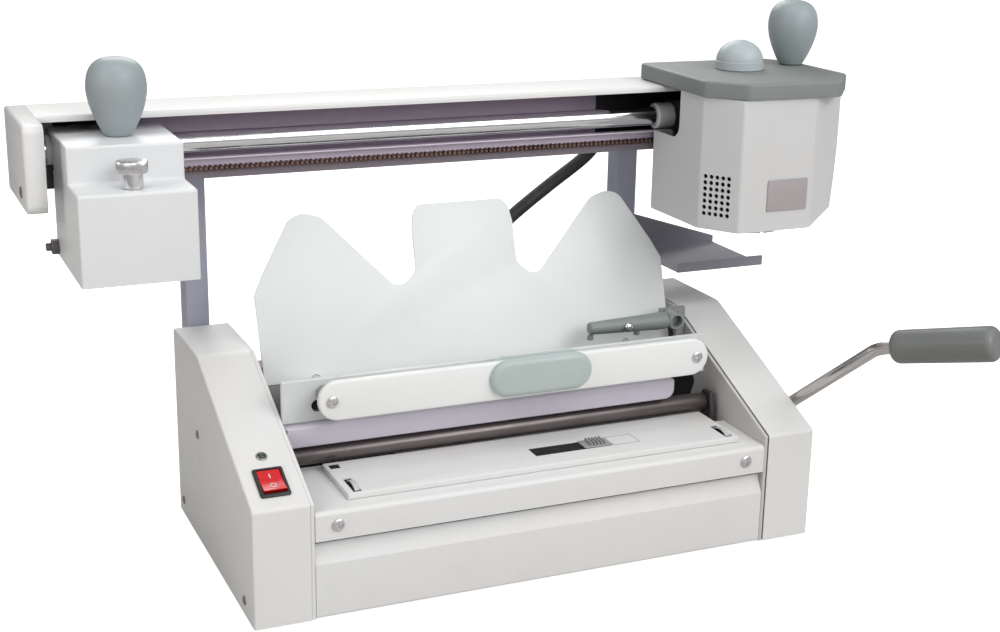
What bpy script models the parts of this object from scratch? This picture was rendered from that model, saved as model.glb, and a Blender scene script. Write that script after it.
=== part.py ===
"""Glue binding machine for an office or a copy shop.

Shop frame: x runs right from the left housing's outer face, y runs back from the housings'
front, z runs up from the floor. Everything hangs on one empty, which puts the middle of the
floor print at the origin.
"""
import math

import bmesh
import bpy
from mathutils import Matrix, Vector

for old in list(bpy.data.objects):
    bpy.data.objects.remove(old, do_unlink=True)

MM = 0.001
parts = bpy.data.collections.new("glue_binding_machine")
cutters = bpy.data.collections.new("cutters")
bpy.context.scene.collection.children.link(parts)
bpy.context.scene.collection.children.link(cutters)

# Sheet, gaps and counts that many pieces share
SHEET = 1.2 * MM
PLATE = 1.5 * MM
SEAM = 0.3 * MM
OVERRUN = 2 * MM
WELD = 0.01 * MM
EDGE_ROUND = 1 * MM
ROUND_SIDES = 24
SMALL_SIDES = 12

# Base
BASE_WIDTH = 470 * MM
BASE_DEPTH = 241.2 * MM
HOUSING_WIDTH = 43 * MM
FOOT_HEIGHT = 2 * MM
FOOT_RADIUS = 9 * MM
FOOT_INSET = 28 * MM
FRONT_HEIGHT = 93.5 * MM
TOP_HEIGHT = 161.5 * MM
SLOPE_DEPTH = 158 * MM
FRAME_PLATE = 3 * MM
FRAME_DROP = 0.5 * MM
BED_THICKNESS = 2 * MM
PANEL_BEND_HEIGHT = 44.5 * MM
PANEL_STRIP_DEPTH = 6 * MM
PANEL_TOP_HEIGHT = 59 * MM
BED_TOP = 40 * MM
BED_FRONT = 20 * MM
BED_BACK_INSET = 65.2 * MM
BED_BACK = BASE_DEPTH - BED_BACK_INSET
DECK_TOP = 118.6 * MM
CONTROL_BOX_SIZE = (100 * MM, 42 * MM, 62 * MM)
INLET_SIZE = (30 * MM, 8 * MM, 24 * MM)
INLET_HEIGHT = 26 * MM
INLET_WALL = 3 * MM
SCREW_RADIUS = 4.5 * MM
SCREW_HEIGHT = 1.8 * MM
SIDE_SCREW_LOW = (26.5 * MM, 14 * MM)
SIDE_SCREW_BACK_INSET = 17.4 * MM
SIDE_SCREW_BACK_HEIGHT = 15.2 * MM
SIDE_SCREW_BACK = (BASE_DEPTH - SIDE_SCREW_BACK_INSET, SIDE_SCREW_BACK_HEIGHT)
SIDE_SCREW_HIGH = (162.7 * MM, 94.9 * MM)

# Rocker switch and lamp on the left slope
BEZEL_WIDTH = 22.4 * MM
BEZEL_LENGTH = 28.7 * MM
BEZEL_HEIGHT = 2 * MM
BEZEL_RIM = 2.2 * MM
BEZEL_CENTRE_DEPTH = 24.2 * MM
ROCKER_GAP = 0.35 * MM
ROCKER_CREST = 2.8 * MM
ROCKER_DIP = 1.6 * MM
ROCKER_ROOT = 5 * MM
ROCKER_TILT = math.radians(7)
LAMP_RADIUS = 2.9 * MM
LAMP_DEPTH = 49.8 * MM

# Table and cover platform
TABLE_TOP = 85.7 * MM
TABLE_BACK = 88 * MM
TABLE_NOTCH_WIDTH = 10 * MM
TABLE_NOTCH_FRONT = 64 * MM
APRON_BOTTOM = 63.2 * MM
APRON_SCREW_INSET = 17 * MM
APRON_SCREW_DROP = 11 * MM
APRON_SCREW_RADIUS = 4.8 * MM
APRON_SCREW_HEIGHT = 2.4 * MM
PLATFORM_LEFT = 78.6 * MM
PLATFORM_RIGHT_INSET = 62.4 * MM
PLATFORM_RIGHT = BASE_WIDTH - PLATFORM_RIGHT_INSET
PLATFORM_FRONT = 19 * MM
PLATFORM_BACK = 78.2 * MM
PLATFORM_TOP = 90.9 * MM
SLOT_LEFT = 236 * MM
SLOT_RIGHT = 303 * MM
SLOT_CENTRE = 45 * MM
SLOT_WIDTH = 11 * MM
SLIDER_LENGTH = 23.5 * MM
SLIDER_PROUD = 2.2 * MM
CLIP_INSET = 7 * MM
CLIP_WIDTH = 6 * MM
CLIP_FRONT = 20 * MM
CLIP_BACK = 44 * MM
CLIP_PROUD = 1.2 * MM
TAB_RADIUS = 2.6 * MM

# Press frame, turned by the lever
SHAFT_DEPTH = 80 * MM
SHAFT_HEIGHT = 76.4 * MM
SHAFT_RADIUS = 6 * MM
SHAFT_START = 39 * MM
HUB_RADIUS = 11 * MM
HUB_LENGTH = 14 * MM
ARM_THICKNESS = 4 * MM
ARM_GAP = 2.2 * MM
ARM_RIGHT_GAP = 3.7 * MM
ARM_HUB_RADIUS = 9 * MM
NIP_DEPTH = 85 * MM
NIP_HEIGHT = 97 * MM
NIP_RADIUS = 7.5 * MM
JAW_LEFT = 47 * MM
JAW_RIGHT_INSET = 89 * MM
JAW_RIGHT = BASE_WIDTH - JAW_RIGHT_INSET
JAW_FRONT = 75 * MM
JAW_BACK = 88 * MM
JAW_BOTTOM = 107 * MM
JAW_TOP = 123.5 * MM
JAW_CORNER = 10 * MM
JAW_REST_LENGTH = 26 * MM
LEVER_X_BEYOND = 8 * MM
LEVER_X = BASE_WIDTH + LEVER_X_BEYOND
LEVER_RADIUS = 5 * MM
BEND_DEPTH = -63 * MM
BEND_HEIGHT = 181 * MM
BEND_STRAIGHT = 9 * MM
GRIP_START = 13 * MM
GRIP_LENGTH = 84 * MM
GRIP_RADIUS = 13 * MM
GRIP_DIRECTION_SHARES = (0.484, -0.845, 0.227)

# Upper clamp, slid by its grip
CLAMP_JAW_LEFT = 46.8 * MM
CLAMP_JAW_RIGHT_INSET = 58 * MM
CLAMP_JAW_RIGHT = BASE_WIDTH - CLAMP_JAW_RIGHT_INSET
CLAMP_JAW_FRONT = 82 * MM
CLAMP_JAW_THICKNESS = 4 * MM
CLAMP_JAW_BOTTOM = 125 * MM
CLAMP_JAW_TOP = 158 * MM
CLAMP_HOLE = (74.2 * MM, 137.1 * MM)
CLAMP_HOLE_RADIUS = 4 * MM
CLAMP_BAR_FRONT = 58.5 * MM
CLAMP_BAR_THICKNESS = 6 * MM
CLAMP_BAR_LEFT = 68.4 * MM
CLAMP_BAR_RIGHT_INSET = 68.4 * MM
CLAMP_BAR_RIGHT = BASE_WIDTH - CLAMP_BAR_RIGHT_INSET
CLAMP_BAR_HEIGHT = 147 * MM
CLAMP_BAR_RADIUS = 15.5 * MM
CLAMP_SCREW_INSET = 10.5 * MM
SPACER_RADIUS = 6 * MM
CLAMP_GRIP_LEFT = 206 * MM
CLAMP_GRIP_RIGHT = 293 * MM
CLAMP_GRIP_HEIGHT = 149.4 * MM
CLAMP_GRIP_RADIUS = 15 * MM
CLAMP_GRIP_PROUD = 6.5 * MM
CLAMP_GRIP_BEHIND = 3.5 * MM
ROD_INSET = 95 * MM
ROD_OFFSET = BASE_WIDTH / 2 - ROD_INSET
ROD_HEIGHT = 133 * MM
ROD_RADIUS = 4 * MM
ROD_END = 183 * MM
ROD_GAP = 0.5 * MM

# Back plate and the crossbar that carries it
BACK_FOOT_DEPTH = 152.1 * MM
BACK_FOOT_HEIGHT = 132.7 * MM
BACK_LEAN = math.atan(0.333)
BACK_INSET = 51.8 * MM
BACK_HALF_WIDTH = BASE_WIDTH / 2 - BACK_INSET
BACK_SLOPE_LENGTH = 134.5 * MM
BACK_NOTCH_RADIUS = 5 * MM
BACK_OUTLINE_SHARES = ((0.996, 0.0), (1.0, 0.535), (0.99, 0.565), (0.955, 0.654), (0.81, 0.974),
                       (0.785, 0.996), (0.748, 1.0), (0.7, 0.99), (0.666, 0.97), (0.385, 0.55),
                       (0.36, 0.524), (0.33, 0.518), (0.306, 0.535), (0.25, 0.6), (0.247, 0.85),
                       (0.235, 0.95), (0.216, 0.99), (0.19, 1.0))
CROSSBAR_BOTTOM = 106 * MM
CROSSBAR_TOP = 146 * MM
CROSSBAR_BACK = 178 * MM
DECK_GAP = 4 * MM
DECK_FRONT = CROSSBAR_BACK + DECK_GAP

# Side gauge
GAUGE_PIVOT_X_INSET = 63 * MM
GAUGE_PIVOT_X = BASE_WIDTH - GAUGE_PIVOT_X_INSET
GAUGE_HEIGHT = 158 * MM
GAUGE_FRONT = 120.5 * MM
GAUGE_BACK = 136 * MM
GAUGE_RING_RADIUS = 7.6 * MM
GAUGE_BORE_RADIUS = 5.2 * MM
GAUGE_PIN_RADIUS = 4.8 * MM
GAUGE_REACH = 81 * MM
GAUGE_TIP_RADIUS = 5.4 * MM
GAUGE_SCREW_REACH = 47 * MM
GAUGE_SCREW_RADIUS = 4.2 * MM
GAUGE_BRACKET_THICKNESS = 4 * MM
GAUGE_BRACKET_BOTTOM = 118 * MM
GAUGE_BRACKET_STEM = 8 * MM

# Posts, beam and guide shaft. Heights and depths up here are counted from the shaft.
RAIL_BEFORE_BACK = 70.2 * MM
RAIL_ABOVE_BASE = 166.1 * MM
RAIL_DEPTH = BASE_DEPTH - RAIL_BEFORE_BACK
RAIL_HEIGHT = TOP_HEIGHT + RAIL_ABOVE_BASE
RAIL_RADIUS = 8 * MM
POST_WIDTH = 18.7 * MM
POST_DEPTH = 21 * MM
LEFT_POST_X = 12.1 * MM
RIGHT_POST_X_INSET = 61.7 * MM
RIGHT_POST_X = BASE_WIDTH - RIGHT_POST_X_INSET
POST_BOTTOM = 60 * MM
POST_TOP_RISE = 17.4 * MM
POST_TOP = RAIL_HEIGHT + POST_TOP_RISE
POST_SLIT_WIDTH = 6 * MM
POST_SLIT_LENGTH = 34 * MM
BEAM_LEFT = -110 * MM
BEAM_RIGHT_BEYOND = 45 * MM
BEAM_RIGHT = BASE_WIDTH + BEAM_RIGHT_BEYOND
BEAM_BACK_BEHIND = 42.6 * MM
BEAM_BACK = RAIL_DEPTH + BEAM_BACK_BEHIND
BEAM_BOTTOM_DROP = 29.6 * MM
BEAM_BOTTOM = RAIL_HEIGHT - BEAM_BOTTOM_DROP
BEAM_TOP_RISE = 27.9 * MM
BEAM_TOP = RAIL_HEIGHT + BEAM_TOP_RISE
BEAM_TOP_FRONT_AHEAD = 19 * MM
BEAM_TOP_FRONT = RAIL_DEPTH - BEAM_TOP_FRONT_AHEAD
BEAM_FLOOR_FRONT_BEHIND = 3.2 * MM
BEAM_FLOOR_FRONT = RAIL_DEPTH + BEAM_FLOOR_FRONT_BEHIND
BEAM_TOP_LIP = 4.6 * MM
BEAM_FLOOR_LIP = 6.5 * MM
BRACKET_BOTTOM_DROP = 22.6 * MM
BRACKET_BOTTOM = RAIL_HEIGHT - BRACKET_BOTTOM_DROP
BRACKET_TOP_RISE = 14.4 * MM
BRACKET_TOP = RAIL_HEIGHT + BRACKET_TOP_RISE
CAP_THICKNESS = 14.7 * MM
CAP_FRONT_AHEAD = 60 * MM
CAP_FRONT = RAIL_DEPTH - CAP_FRONT_AHEAD
CAP_BACK_BEHIND = 35 * MM
CAP_BACK = RAIL_DEPTH + CAP_BACK_BEHIND
CAP_BOTTOM_DROP = 34.2 * MM
CAP_BOTTOM = RAIL_HEIGHT - CAP_BOTTOM_DROP
CAP_TOP_RISE = 27.4 * MM
CAP_TOP = RAIL_HEIGHT + CAP_TOP_RISE
CAP_CORNER = 7 * MM
CAP_SCREW_AHEAD = 37.3 * MM
CAP_SCREW_DROP = 22.3 * MM
CAP_SCREW = (RAIL_DEPTH - CAP_SCREW_AHEAD, RAIL_HEIGHT - CAP_SCREW_DROP)
END_PLATE = 4 * MM
END_PLATE_LEDGE_DROP = 8.6 * MM
END_PLATE_LEDGE = RAIL_HEIGHT - END_PLATE_LEDGE_DROP
SPACER_RING_RADIUS = 11 * MM
SPACER_RING_LENGTH = 12.4 * MM
SPACER_RING_INSET = 8 * MM
SLIDE_GAP = 0.4 * MM
CHAIN_FRONT_AHEAD = 1.7 * MM
CHAIN_FRONT = RAIL_DEPTH - CHAIN_FRONT_AHEAD
CHAIN_BACK_BEHIND = 2.7 * MM
CHAIN_BACK = RAIL_DEPTH + CHAIN_BACK_BEHIND
CHAIN_BOTTOM_DROP = 24.6 * MM
CHAIN_BOTTOM = RAIL_HEIGHT - CHAIN_BOTTOM_DROP
CHAIN_TOP_DROP = 17.6 * MM
CHAIN_TOP = RAIL_HEIGHT - CHAIN_TOP_DROP
CHAIN_PITCH = 8 * MM
CHAIN_WAIST = 0.9 * MM
STRIP_TOP_DROP = 12.7 * MM
STRIP_TOP = RAIL_HEIGHT - STRIP_TOP_DROP
STRIP_FRONT_AHEAD = 0.8 * MM
STRIP_FRONT = RAIL_DEPTH - STRIP_FRONT_AHEAD
STRIP_LEG_BEHIND = 6 * MM
STRIP_LEG = RAIL_DEPTH + STRIP_LEG_BEHIND
TRAY_LEFT_INSET = 45.4 * MM
TRAY_LEFT = BASE_WIDTH - TRAY_LEFT_INSET
TRAY_RIGHT_BEYOND = 40.4 * MM
TRAY_RIGHT = BASE_WIDTH + TRAY_RIGHT_BEYOND
TRAY_FRONT = 154 * MM
TRAY_RISE = 30.3 * MM
TRAY_HEIGHT = TOP_HEIGHT + TRAY_RISE
TRAY_LIP = 8 * MM
TRAY_FLANGE_LEFT_RISE = 33.2 * MM
TRAY_FLANGE_RIGHT_RISE = 6.7 * MM
TRAY_FLANGE_LEFT_TOP = TRAY_HEIGHT + TRAY_FLANGE_LEFT_RISE
TRAY_FLANGE_RIGHT_TOP = TRAY_HEIGHT + TRAY_FLANGE_RIGHT_RISE
CONDUIT_RADIUS = 5.75 * MM
GLAND_RADIUS = 9 * MM
GLAND_LENGTH = 12 * MM
CONDUIT_START_INSET = 225 * MM
CONDUIT_START_AHEAD = 10.6 * MM
CONDUIT_START_RISE = 13.4 * MM
CONDUIT_BULGE = 8.4 * MM
CONDUIT_END_INSET = 79 * MM
CONDUIT_END_DROP = 14.6 * MM
CONDUIT_START = Vector((BASE_WIDTH - CONDUIT_START_INSET, BASE_DEPTH - CONDUIT_START_AHEAD,
                        DECK_TOP + CONDUIT_START_RISE))
CONDUIT_SPAN = Vector((CONDUIT_START_INSET - CONDUIT_END_INSET, CONDUIT_BULGE,
                       RAIL_HEIGHT - CONDUIT_END_DROP - CONDUIT_START.z))
CONDUIT_SHARES = ((0.0, 0.0, 0.0), (0.0068, 0.1333, 0.0994), (0.0616, 0.5333, 0.2541),
                  (0.1986, 0.9333, 0.4199),
                  (0.3973, 1.0, 0.558), (0.637, 1.0, 0.6961), (0.8699, 1.0, 0.8232),
                  (0.9726, 0.9333, 0.9171), (1.0, 0.6, 0.9779), (1.0, 0.1333, 1.0))
CONDUIT_ROUTE = [CONDUIT_START + CONDUIT_SPAN * Vector(shares) for shares in CONDUIT_SHARES]

# Glue carriage
GLUE_LEFT = -98.3 * MM
GLUE_RIGHT = -16.2 * MM
GLUE_FRONT_AHEAD = 113.7 * MM
GLUE_FRONT = RAIL_DEPTH - GLUE_FRONT_AHEAD
GLUE_STEP_DEPTH_AHEAD = 74 * MM
GLUE_STEP_DEPTH = RAIL_DEPTH - GLUE_STEP_DEPTH_AHEAD
GLUE_BACK_AHEAD = 6 * MM
GLUE_BACK = RAIL_DEPTH - GLUE_BACK_AHEAD
GLUE_TOP_BACK_BEHIND = 19 * MM
GLUE_TOP_BACK = RAIL_DEPTH + GLUE_TOP_BACK_BEHIND
GLUE_BOTTOM_DROP = 76.6 * MM
GLUE_BOTTOM = RAIL_HEIGHT - GLUE_BOTTOM_DROP
GLUE_STEP_DROP = 12 * MM
GLUE_STEP = RAIL_HEIGHT - GLUE_STEP_DROP
GLUE_TOP_RISE = 14.5 * MM
GLUE_TOP = RAIL_HEIGHT + GLUE_TOP_RISE
BEARING_HALF = 13.5 * MM
BEARING_LOW_DROP = 11.2 * MM
BEARING_LOW = RAIL_HEIGHT - BEARING_LOW_DROP
BEARING_HIGH_RISE = 12.2 * MM
BEARING_HIGH = RAIL_HEIGHT + BEARING_HIGH_RISE
BEARING_INSET = 9 * MM
SHAFT_NOTCH_HALF = 12 * MM
GLUE_KNOB_X = -54.7 * MM
GLUE_KNOB_AHEAD = 36 * MM
GLUE_KNOB = (GLUE_KNOB_X, RAIL_DEPTH - GLUE_KNOB_AHEAD)
KNOB_RADIUS = 21 * MM
GLUE_KNOB_HEIGHT = 56 * MM
KNOB_SHARES = ((0.0, 1.0), (0.42, 0.98), (0.7, 0.93), (0.9, 0.82), (1.0, 0.64), (0.97, 0.5), (0.84, 0.34),
               (0.64, 0.17), (0.5, 0.05), (0.42, 0.0), (0.0, 0.0))
THUMB_X = -57.5 * MM
THUMB_DEPTH_AHEAD = 96.7 * MM
THUMB_DEPTH = RAIL_DEPTH - THUMB_DEPTH_AHEAD
THUMB_NECK_RADIUS = 7.5 * MM
THUMB_NECK_HEIGHT = 10.4 * MM
THUMB_HEAD_RADIUS = 11 * MM
THUMB_HEAD_HEIGHT = 9 * MM
THUMB_SHANK_RADIUS = 3 * MM
THUMB_SHANK_LENGTH = 8 * MM
STUD_RADIUS = 3 * MM
STUD_NUT_RADIUS = 6 * MM
STUD_NUT_HEIGHT = 5 * MM
STUD_TIP = 4 * MM
STUD_AHEAD = 13 * MM
STUD_DROP = 69.6 * MM
STUD_PLACE = (RAIL_DEPTH - STUD_AHEAD, RAIL_HEIGHT - STUD_DROP)
TANK_GAP = 6 * MM
TANK_WALL = 2 * MM
TANK_BOTTOM_DROP = 65.6 * MM
TANK_BOTTOM = RAIL_HEIGHT - TANK_BOTTOM_DROP
TANK_TOP_DROP = 23.6 * MM
TANK_TOP = RAIL_HEIGHT - TANK_TOP_DROP
TANK_FRONT_AHEAD = 105 * MM
TANK_FRONT = RAIL_DEPTH - TANK_FRONT_AHEAD
TANK_BACK_AHEAD = 13 * MM
TANK_BACK = RAIL_DEPTH - TANK_BACK_AHEAD
HEATER_THICKNESS = 4 * MM
HEATER_INSET = 10 * MM
ROLLER_HEIGHT_DROP = 55.6 * MM
ROLLER_HEIGHT = RAIL_HEIGHT - ROLLER_HEIGHT_DROP
ROLLER_RADIUS = 24 * MM
ROLLER_END_GAP = 3 * MM
ROLLER_SHAFT_RADIUS = 4 * MM
ROLLER_CLEARANCE = 0.8 * MM
SPROCKET_OUTER = 30.6 * MM
SPROCKET_ROOT = 28.6 * MM
SPROCKET_TEETH = 24
SPROCKET_FRONT_AHEAD = 4 * MM
SPROCKET_FRONT = RAIL_DEPTH - SPROCKET_FRONT_AHEAD
SPROCKET_THICKNESS = 4 * MM

# Milling head
HEAD_LEFT_INSET = 68.4 * MM
HEAD_LEFT = BASE_WIDTH - HEAD_LEFT_INSET
HEAD_FRONT_AHEAD = 114 * MM
HEAD_FRONT = RAIL_DEPTH - HEAD_FRONT_AHEAD
HEAD_CHAMFER_LEFT_RUN = 20.4 * MM
HEAD_CHAMFER_LEFT = HEAD_LEFT + HEAD_CHAMFER_LEFT_RUN
HEAD_CHAMFER_RIGHT_RUN = 104.4 * MM
HEAD_CHAMFER_RIGHT = HEAD_LEFT + HEAD_CHAMFER_RIGHT_RUN
HEAD_RIGHT_RUN = 130.4 * MM
HEAD_RIGHT = HEAD_LEFT + HEAD_RIGHT_RUN
HEAD_CHAMFER_DEPTH_AHEAD = 83.5 * MM
HEAD_CHAMFER_DEPTH = RAIL_DEPTH - HEAD_CHAMFER_DEPTH_AHEAD
HEAD_BACK_AHEAD = 3 * MM
HEAD_BACK = RAIL_DEPTH - HEAD_BACK_AHEAD
HEAD_BACK_RIGHT_RUN = 128.4 * MM
HEAD_BACK_RIGHT = HEAD_LEFT + HEAD_BACK_RIGHT_RUN
HEAD_BOTTOM_DROP = 79.2 * MM
HEAD_BOTTOM = RAIL_HEIGHT - HEAD_BOTTOM_DROP
HEAD_TOP_RISE = 28.4 * MM
HEAD_TOP = RAIL_HEIGHT + HEAD_TOP_RISE
HEAD_NOTCH_DEPTH_AHEAD = 47 * MM
HEAD_NOTCH_DEPTH = RAIL_DEPTH - HEAD_NOTCH_DEPTH_AHEAD
HEAD_NOTCH_HEIGHT = BEARING_LOW - SLIDE_GAP
HEAD_CUT_START_RUN = 80.4 * MM
HEAD_CUT_START = HEAD_LEFT + HEAD_CUT_START_RUN
HEAD_CUT_HEIGHT_DROP = 54.6 * MM
HEAD_CUT_HEIGHT = RAIL_HEIGHT - HEAD_CUT_HEIGHT_DROP
LID_TOP_RISE = 41.8 * MM
LID_TOP = RAIL_HEIGHT + LID_TOP_RISE
LID_ROUND = 3 * MM
LID_RUNS = (-2.6 * MM, 22.4 * MM, 108.4 * MM, 136.4 * MM, 136.4 * MM, 120.4 * MM, 0.4 * MM)
LID_AHEADS = (87 * MM, 116 * MM, 118 * MM, 83 * MM, 1 * MM, -23 * MM, -27 * MM)
LID_OUTLINE = [(HEAD_LEFT + run, RAIL_DEPTH - ahead) for run, ahead in zip(LID_RUNS, LID_AHEADS)]
DOME_CENTRE_RUN = 63 * MM
DOME_CENTRE_AHEAD = 33 * MM
DOME_CENTRE = (HEAD_LEFT + DOME_CENTRE_RUN, RAIL_DEPTH - DOME_CENTRE_AHEAD)
DOME_RADIUS = 20.3 * MM
DOME_HEIGHT = 24 * MM
DOME_SHARES = ((0.0, 1.0), (0.35, 0.95), (0.66, 0.81), (0.88, 0.6), (0.98, 0.4), (1.0, 0.28), (1.0, 0.0),
               (0.0, 0.0))
HEAD_KNOB_RUN = 122.4 * MM
HEAD_KNOB_AHEAD = 20 * MM
HEAD_KNOB = (HEAD_LEFT + HEAD_KNOB_RUN, RAIL_DEPTH - HEAD_KNOB_AHEAD)
HEAD_KNOB_HEIGHT = 54.3 * MM
VENT_ROWS = 7
VENT_COLUMNS = 5
VENT_RADIUS = 1.8 * MM
VENT_PITCH = 5.2 * MM
VENT_ROW_PITCH = 5.1 * MM
VENT_SHIFT = 2.6 * MM
VENT_BOTTOM_DROP = 66.1 * MM
VENT_BOTTOM = RAIL_HEIGHT - VENT_BOTTOM_DROP
LABEL_LEFT_RUN = 45.9 * MM
LABEL_LEFT = HEAD_LEFT + LABEL_LEFT_RUN
LABEL_RIGHT_RUN = 83.4 * MM
LABEL_RIGHT = HEAD_LEFT + LABEL_RIGHT_RUN
LABEL_BOTTOM_DROP = 62.6 * MM
LABEL_BOTTOM = RAIL_HEIGHT - LABEL_BOTTOM_DROP
LABEL_TOP_DROP = 36.6 * MM
LABEL_TOP = RAIL_HEIGHT - LABEL_TOP_DROP
LABEL_THICKNESS = 0.8 * MM
MOTOR_CENTRE_RUN = 55.4 * MM
MOTOR_CENTRE_AHEAD = 61 * MM
MOTOR_CENTRE = (HEAD_LEFT + MOTOR_CENTRE_RUN, RAIL_DEPTH - MOTOR_CENTRE_AHEAD)
MOTOR_RADIUS = 29 * MM
MOTOR_BOTTOM_DROP = 65.6 * MM
MOTOR_BOTTOM = RAIL_HEIGHT - MOTOR_BOTTOM_DROP
MOTOR_TOP_RISE = 16.4 * MM
MOTOR_TOP = RAIL_HEIGHT + MOTOR_TOP_RISE
MOTOR_BORE_DEPTH = 14 * MM
MOTOR_SHELF = 3 * MM
ARBOR_RADIUS = 6 * MM
ARBOR_GAP = 0.5 * MM
CUTTER_RADIUS = 38 * MM
CUTTER_BOTTOM_DROP = 84.6 * MM
CUTTER_BOTTOM = RAIL_HEIGHT - CUTTER_BOTTOM_DROP
CUTTER_THICKNESS = 4 * MM
CUTTER_TEETH = 16
CUTTER_NOTCH = 4 * MM
HEAD_BEARING_LEFT_RUN = 18.4 * MM
HEAD_BEARING_LEFT = HEAD_LEFT + HEAD_BEARING_LEFT_RUN
HEAD_BEARING_RIGHT_RUN = 95.4 * MM
HEAD_BEARING_RIGHT = HEAD_LEFT + HEAD_BEARING_RIGHT_RUN
HEAD_RING_RADIUS = 10.5 * MM
HEAD_RING_LEFT_RUN = 2.9 * MM
HEAD_RING_LEFT = HEAD_LEFT + HEAD_RING_LEFT_RUN
CARRIER_THICKNESS = 3 * MM

FINISHES = {
    "painted sheet": ((0.78, 0.79, 0.76, 1), 0.0, 0.5),
    "blue paint": ((0.42, 0.47, 0.55, 1), 0.0, 0.5),
    "dark paint": ((0.1, 0.1, 0.11, 1), 0.0, 0.5),
    "violet grey": ((0.36, 0.35, 0.42, 1), 0.0, 0.5),
    "chrome": ((0.8, 0.8, 0.82, 1), 1.0, 0.12),
    "steel": ((0.55, 0.56, 0.58, 1), 1.0, 0.35),
    "aluminium": ((0.7, 0.71, 0.72, 1), 1.0, 0.4),
    "grey plastic": ((0.48, 0.52, 0.5, 1), 0.0, 0.45),
    "black plastic": ((0.03, 0.03, 0.03, 1), 0.0, 0.4),
    "red plastic": ((0.7, 0.04, 0.03, 1), 0.0, 0.3),
    "chain steel": ((0.35, 0.29, 0.22, 1), 1.0, 0.4),
}


def hang(piece, parent):
    """Parent a piece and keep its shop place."""
    bpy.context.view_layer.update()
    piece.parent = parent
    piece.matrix_parent_inverse = parent.matrix_world.inverted()


def add_empty(name, place, parent=None):
    """An empty at a shop place, on a joint axis or at the origin."""
    empty = bpy.data.objects.new(name, None)
    parts.objects.link(empty)
    empty.location = place
    if parent:
        hang(empty, parent)
    return empty


def seat(piece, parent, finish):
    """Hang a piece on its parent and give it a material of its own."""
    hang(piece, parent)
    colour, metallic, roughness = FINISHES[finish]
    material = bpy.data.materials.new(piece.name)
    material.use_nodes = True
    shader = material.node_tree.nodes["Principled BSDF"]
    shader.inputs["Base Color"].default_value = colour
    shader.inputs["Metallic"].default_value = metallic
    shader.inputs["Roughness"].default_value = roughness
    piece.data.materials.clear()
    piece.data.materials.append(material)
    return piece


def from_bmesh(name, mesh_data, group=parts):
    mesh = bpy.data.meshes.new(name)
    mesh_data.to_mesh(mesh)
    mesh_data.free()
    piece = bpy.data.objects.new(name, mesh)
    group.objects.link(piece)
    return piece


def bevel(piece, width, segments=2):
    step = piece.modifiers.new("rounding", "BEVEL")
    step.width = width
    step.segments = segments
    step.limit_method = "ANGLE"
    step.angle_limit = math.radians(40)
    return piece


def smooth(piece):
    piece.data.shade_smooth()
    piece.data.set_sharp_from_angle(angle=math.radians(35))
    return piece


def box(name, low, high, group=parts):
    """A block between two opposite corners."""
    low, high = Vector(low), Vector(high)
    data = bmesh.new()
    bmesh.ops.create_cube(data, size=1, matrix=Matrix.Diagonal((*(high - low), 1)))
    piece = from_bmesh(name, data, group)
    piece.location = (low + high) / 2
    return piece


def rod(name, start, end, radius, sides=ROUND_SIDES, group=parts, end_radius=None):
    """A straight round bar, or a cone frustum, from one point to another."""
    start, end = Vector(start), Vector(end)
    data = bmesh.new()
    bmesh.ops.create_cone(data, cap_ends=True, segments=sides, radius1=radius,
                          radius2=radius if end_radius is None else end_radius, depth=(end - start).length)
    piece = from_bmesh(name, data, group)
    piece.location = (start + end) / 2
    piece.rotation_euler = Vector((0, 0, 1)).rotation_difference(end - start).to_euler()
    return smooth(piece)


def turned(name, profile, place, direction=(0, 0, 1), sides=ROUND_SIDES):
    """A lathe shape. The profile of (radius, height) runs down the outer side."""
    data = bmesh.new()
    corners = [data.verts.new((radius, 0, height)) for radius, height in profile]
    for first, second in zip(corners, corners[1:]):
        data.edges.new((first, second))
    if profile[0][0] > 0:
        data.edges.new((corners[-1], corners[0]))
    piece = from_bmesh(name, data)
    step = piece.modifiers.new("lathe", "SCREW")
    step.steps = sides
    step.render_steps = sides
    step.use_merge_vertices = True
    step.merge_threshold = WELD
    step.use_smooth_shade = False
    piece.location = place
    piece.rotation_euler = Vector((0, 0, 1)).rotation_difference(Vector(direction)).to_euler()
    return piece


def to_mesh(curve):
    """Turn a curve object into a mesh object under the same name and place."""
    bpy.context.view_layer.update()
    graph = bpy.context.evaluated_depsgraph_get()
    mesh = bpy.data.meshes.new_from_object(curve.evaluated_get(graph))
    data = bmesh.new()
    data.from_mesh(mesh)
    bmesh.ops.remove_doubles(data, verts=data.verts, dist=WELD)
    data.to_mesh(mesh)
    data.free()
    name, group, matrix = curve.name, curve.users_collection[0], curve.matrix_world.copy()
    bpy.data.objects.remove(curve, do_unlink=True)
    piece = bpy.data.objects.new(name, mesh)
    group.objects.link(piece)
    piece.matrix_world = matrix
    return piece


TURNS = {"xy": (0, 0, 0), "xz": (math.pi / 2, 0, 0), "yz": (math.pi / 2, 0, math.pi / 2)}


def plate(name, outline, plane, start, end, holes=(), group=parts):
    """A flat outline in shop places of one plane, thick from start to end across that plane."""
    across = [sum(point[axis] for point in outline) / len(outline) for axis in (0, 1)]
    curve = bpy.data.curves.new(name, "CURVE")
    curve.dimensions = "2D"
    curve.fill_mode = "BOTH"
    curve.extrude = abs(end - start) / 2
    for ring in (outline, *holes):
        line = curve.splines.new("POLY")
        line.points.add(len(ring) - 1)
        line.use_cyclic_u = True
        for target, point in zip(line.points, ring):
            target.co = (point[0] - across[0], point[1] - across[1], 0, 1)
    piece = bpy.data.objects.new(name, curve)
    group.objects.link(piece)
    middle = (start + end) / 2
    piece.location = {"xy": (*across, middle), "xz": (across[0], middle, across[1]),
                      "yz": (middle, *across)}[plane]
    piece.rotation_euler = TURNS[plane]
    return to_mesh(piece)


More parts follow.
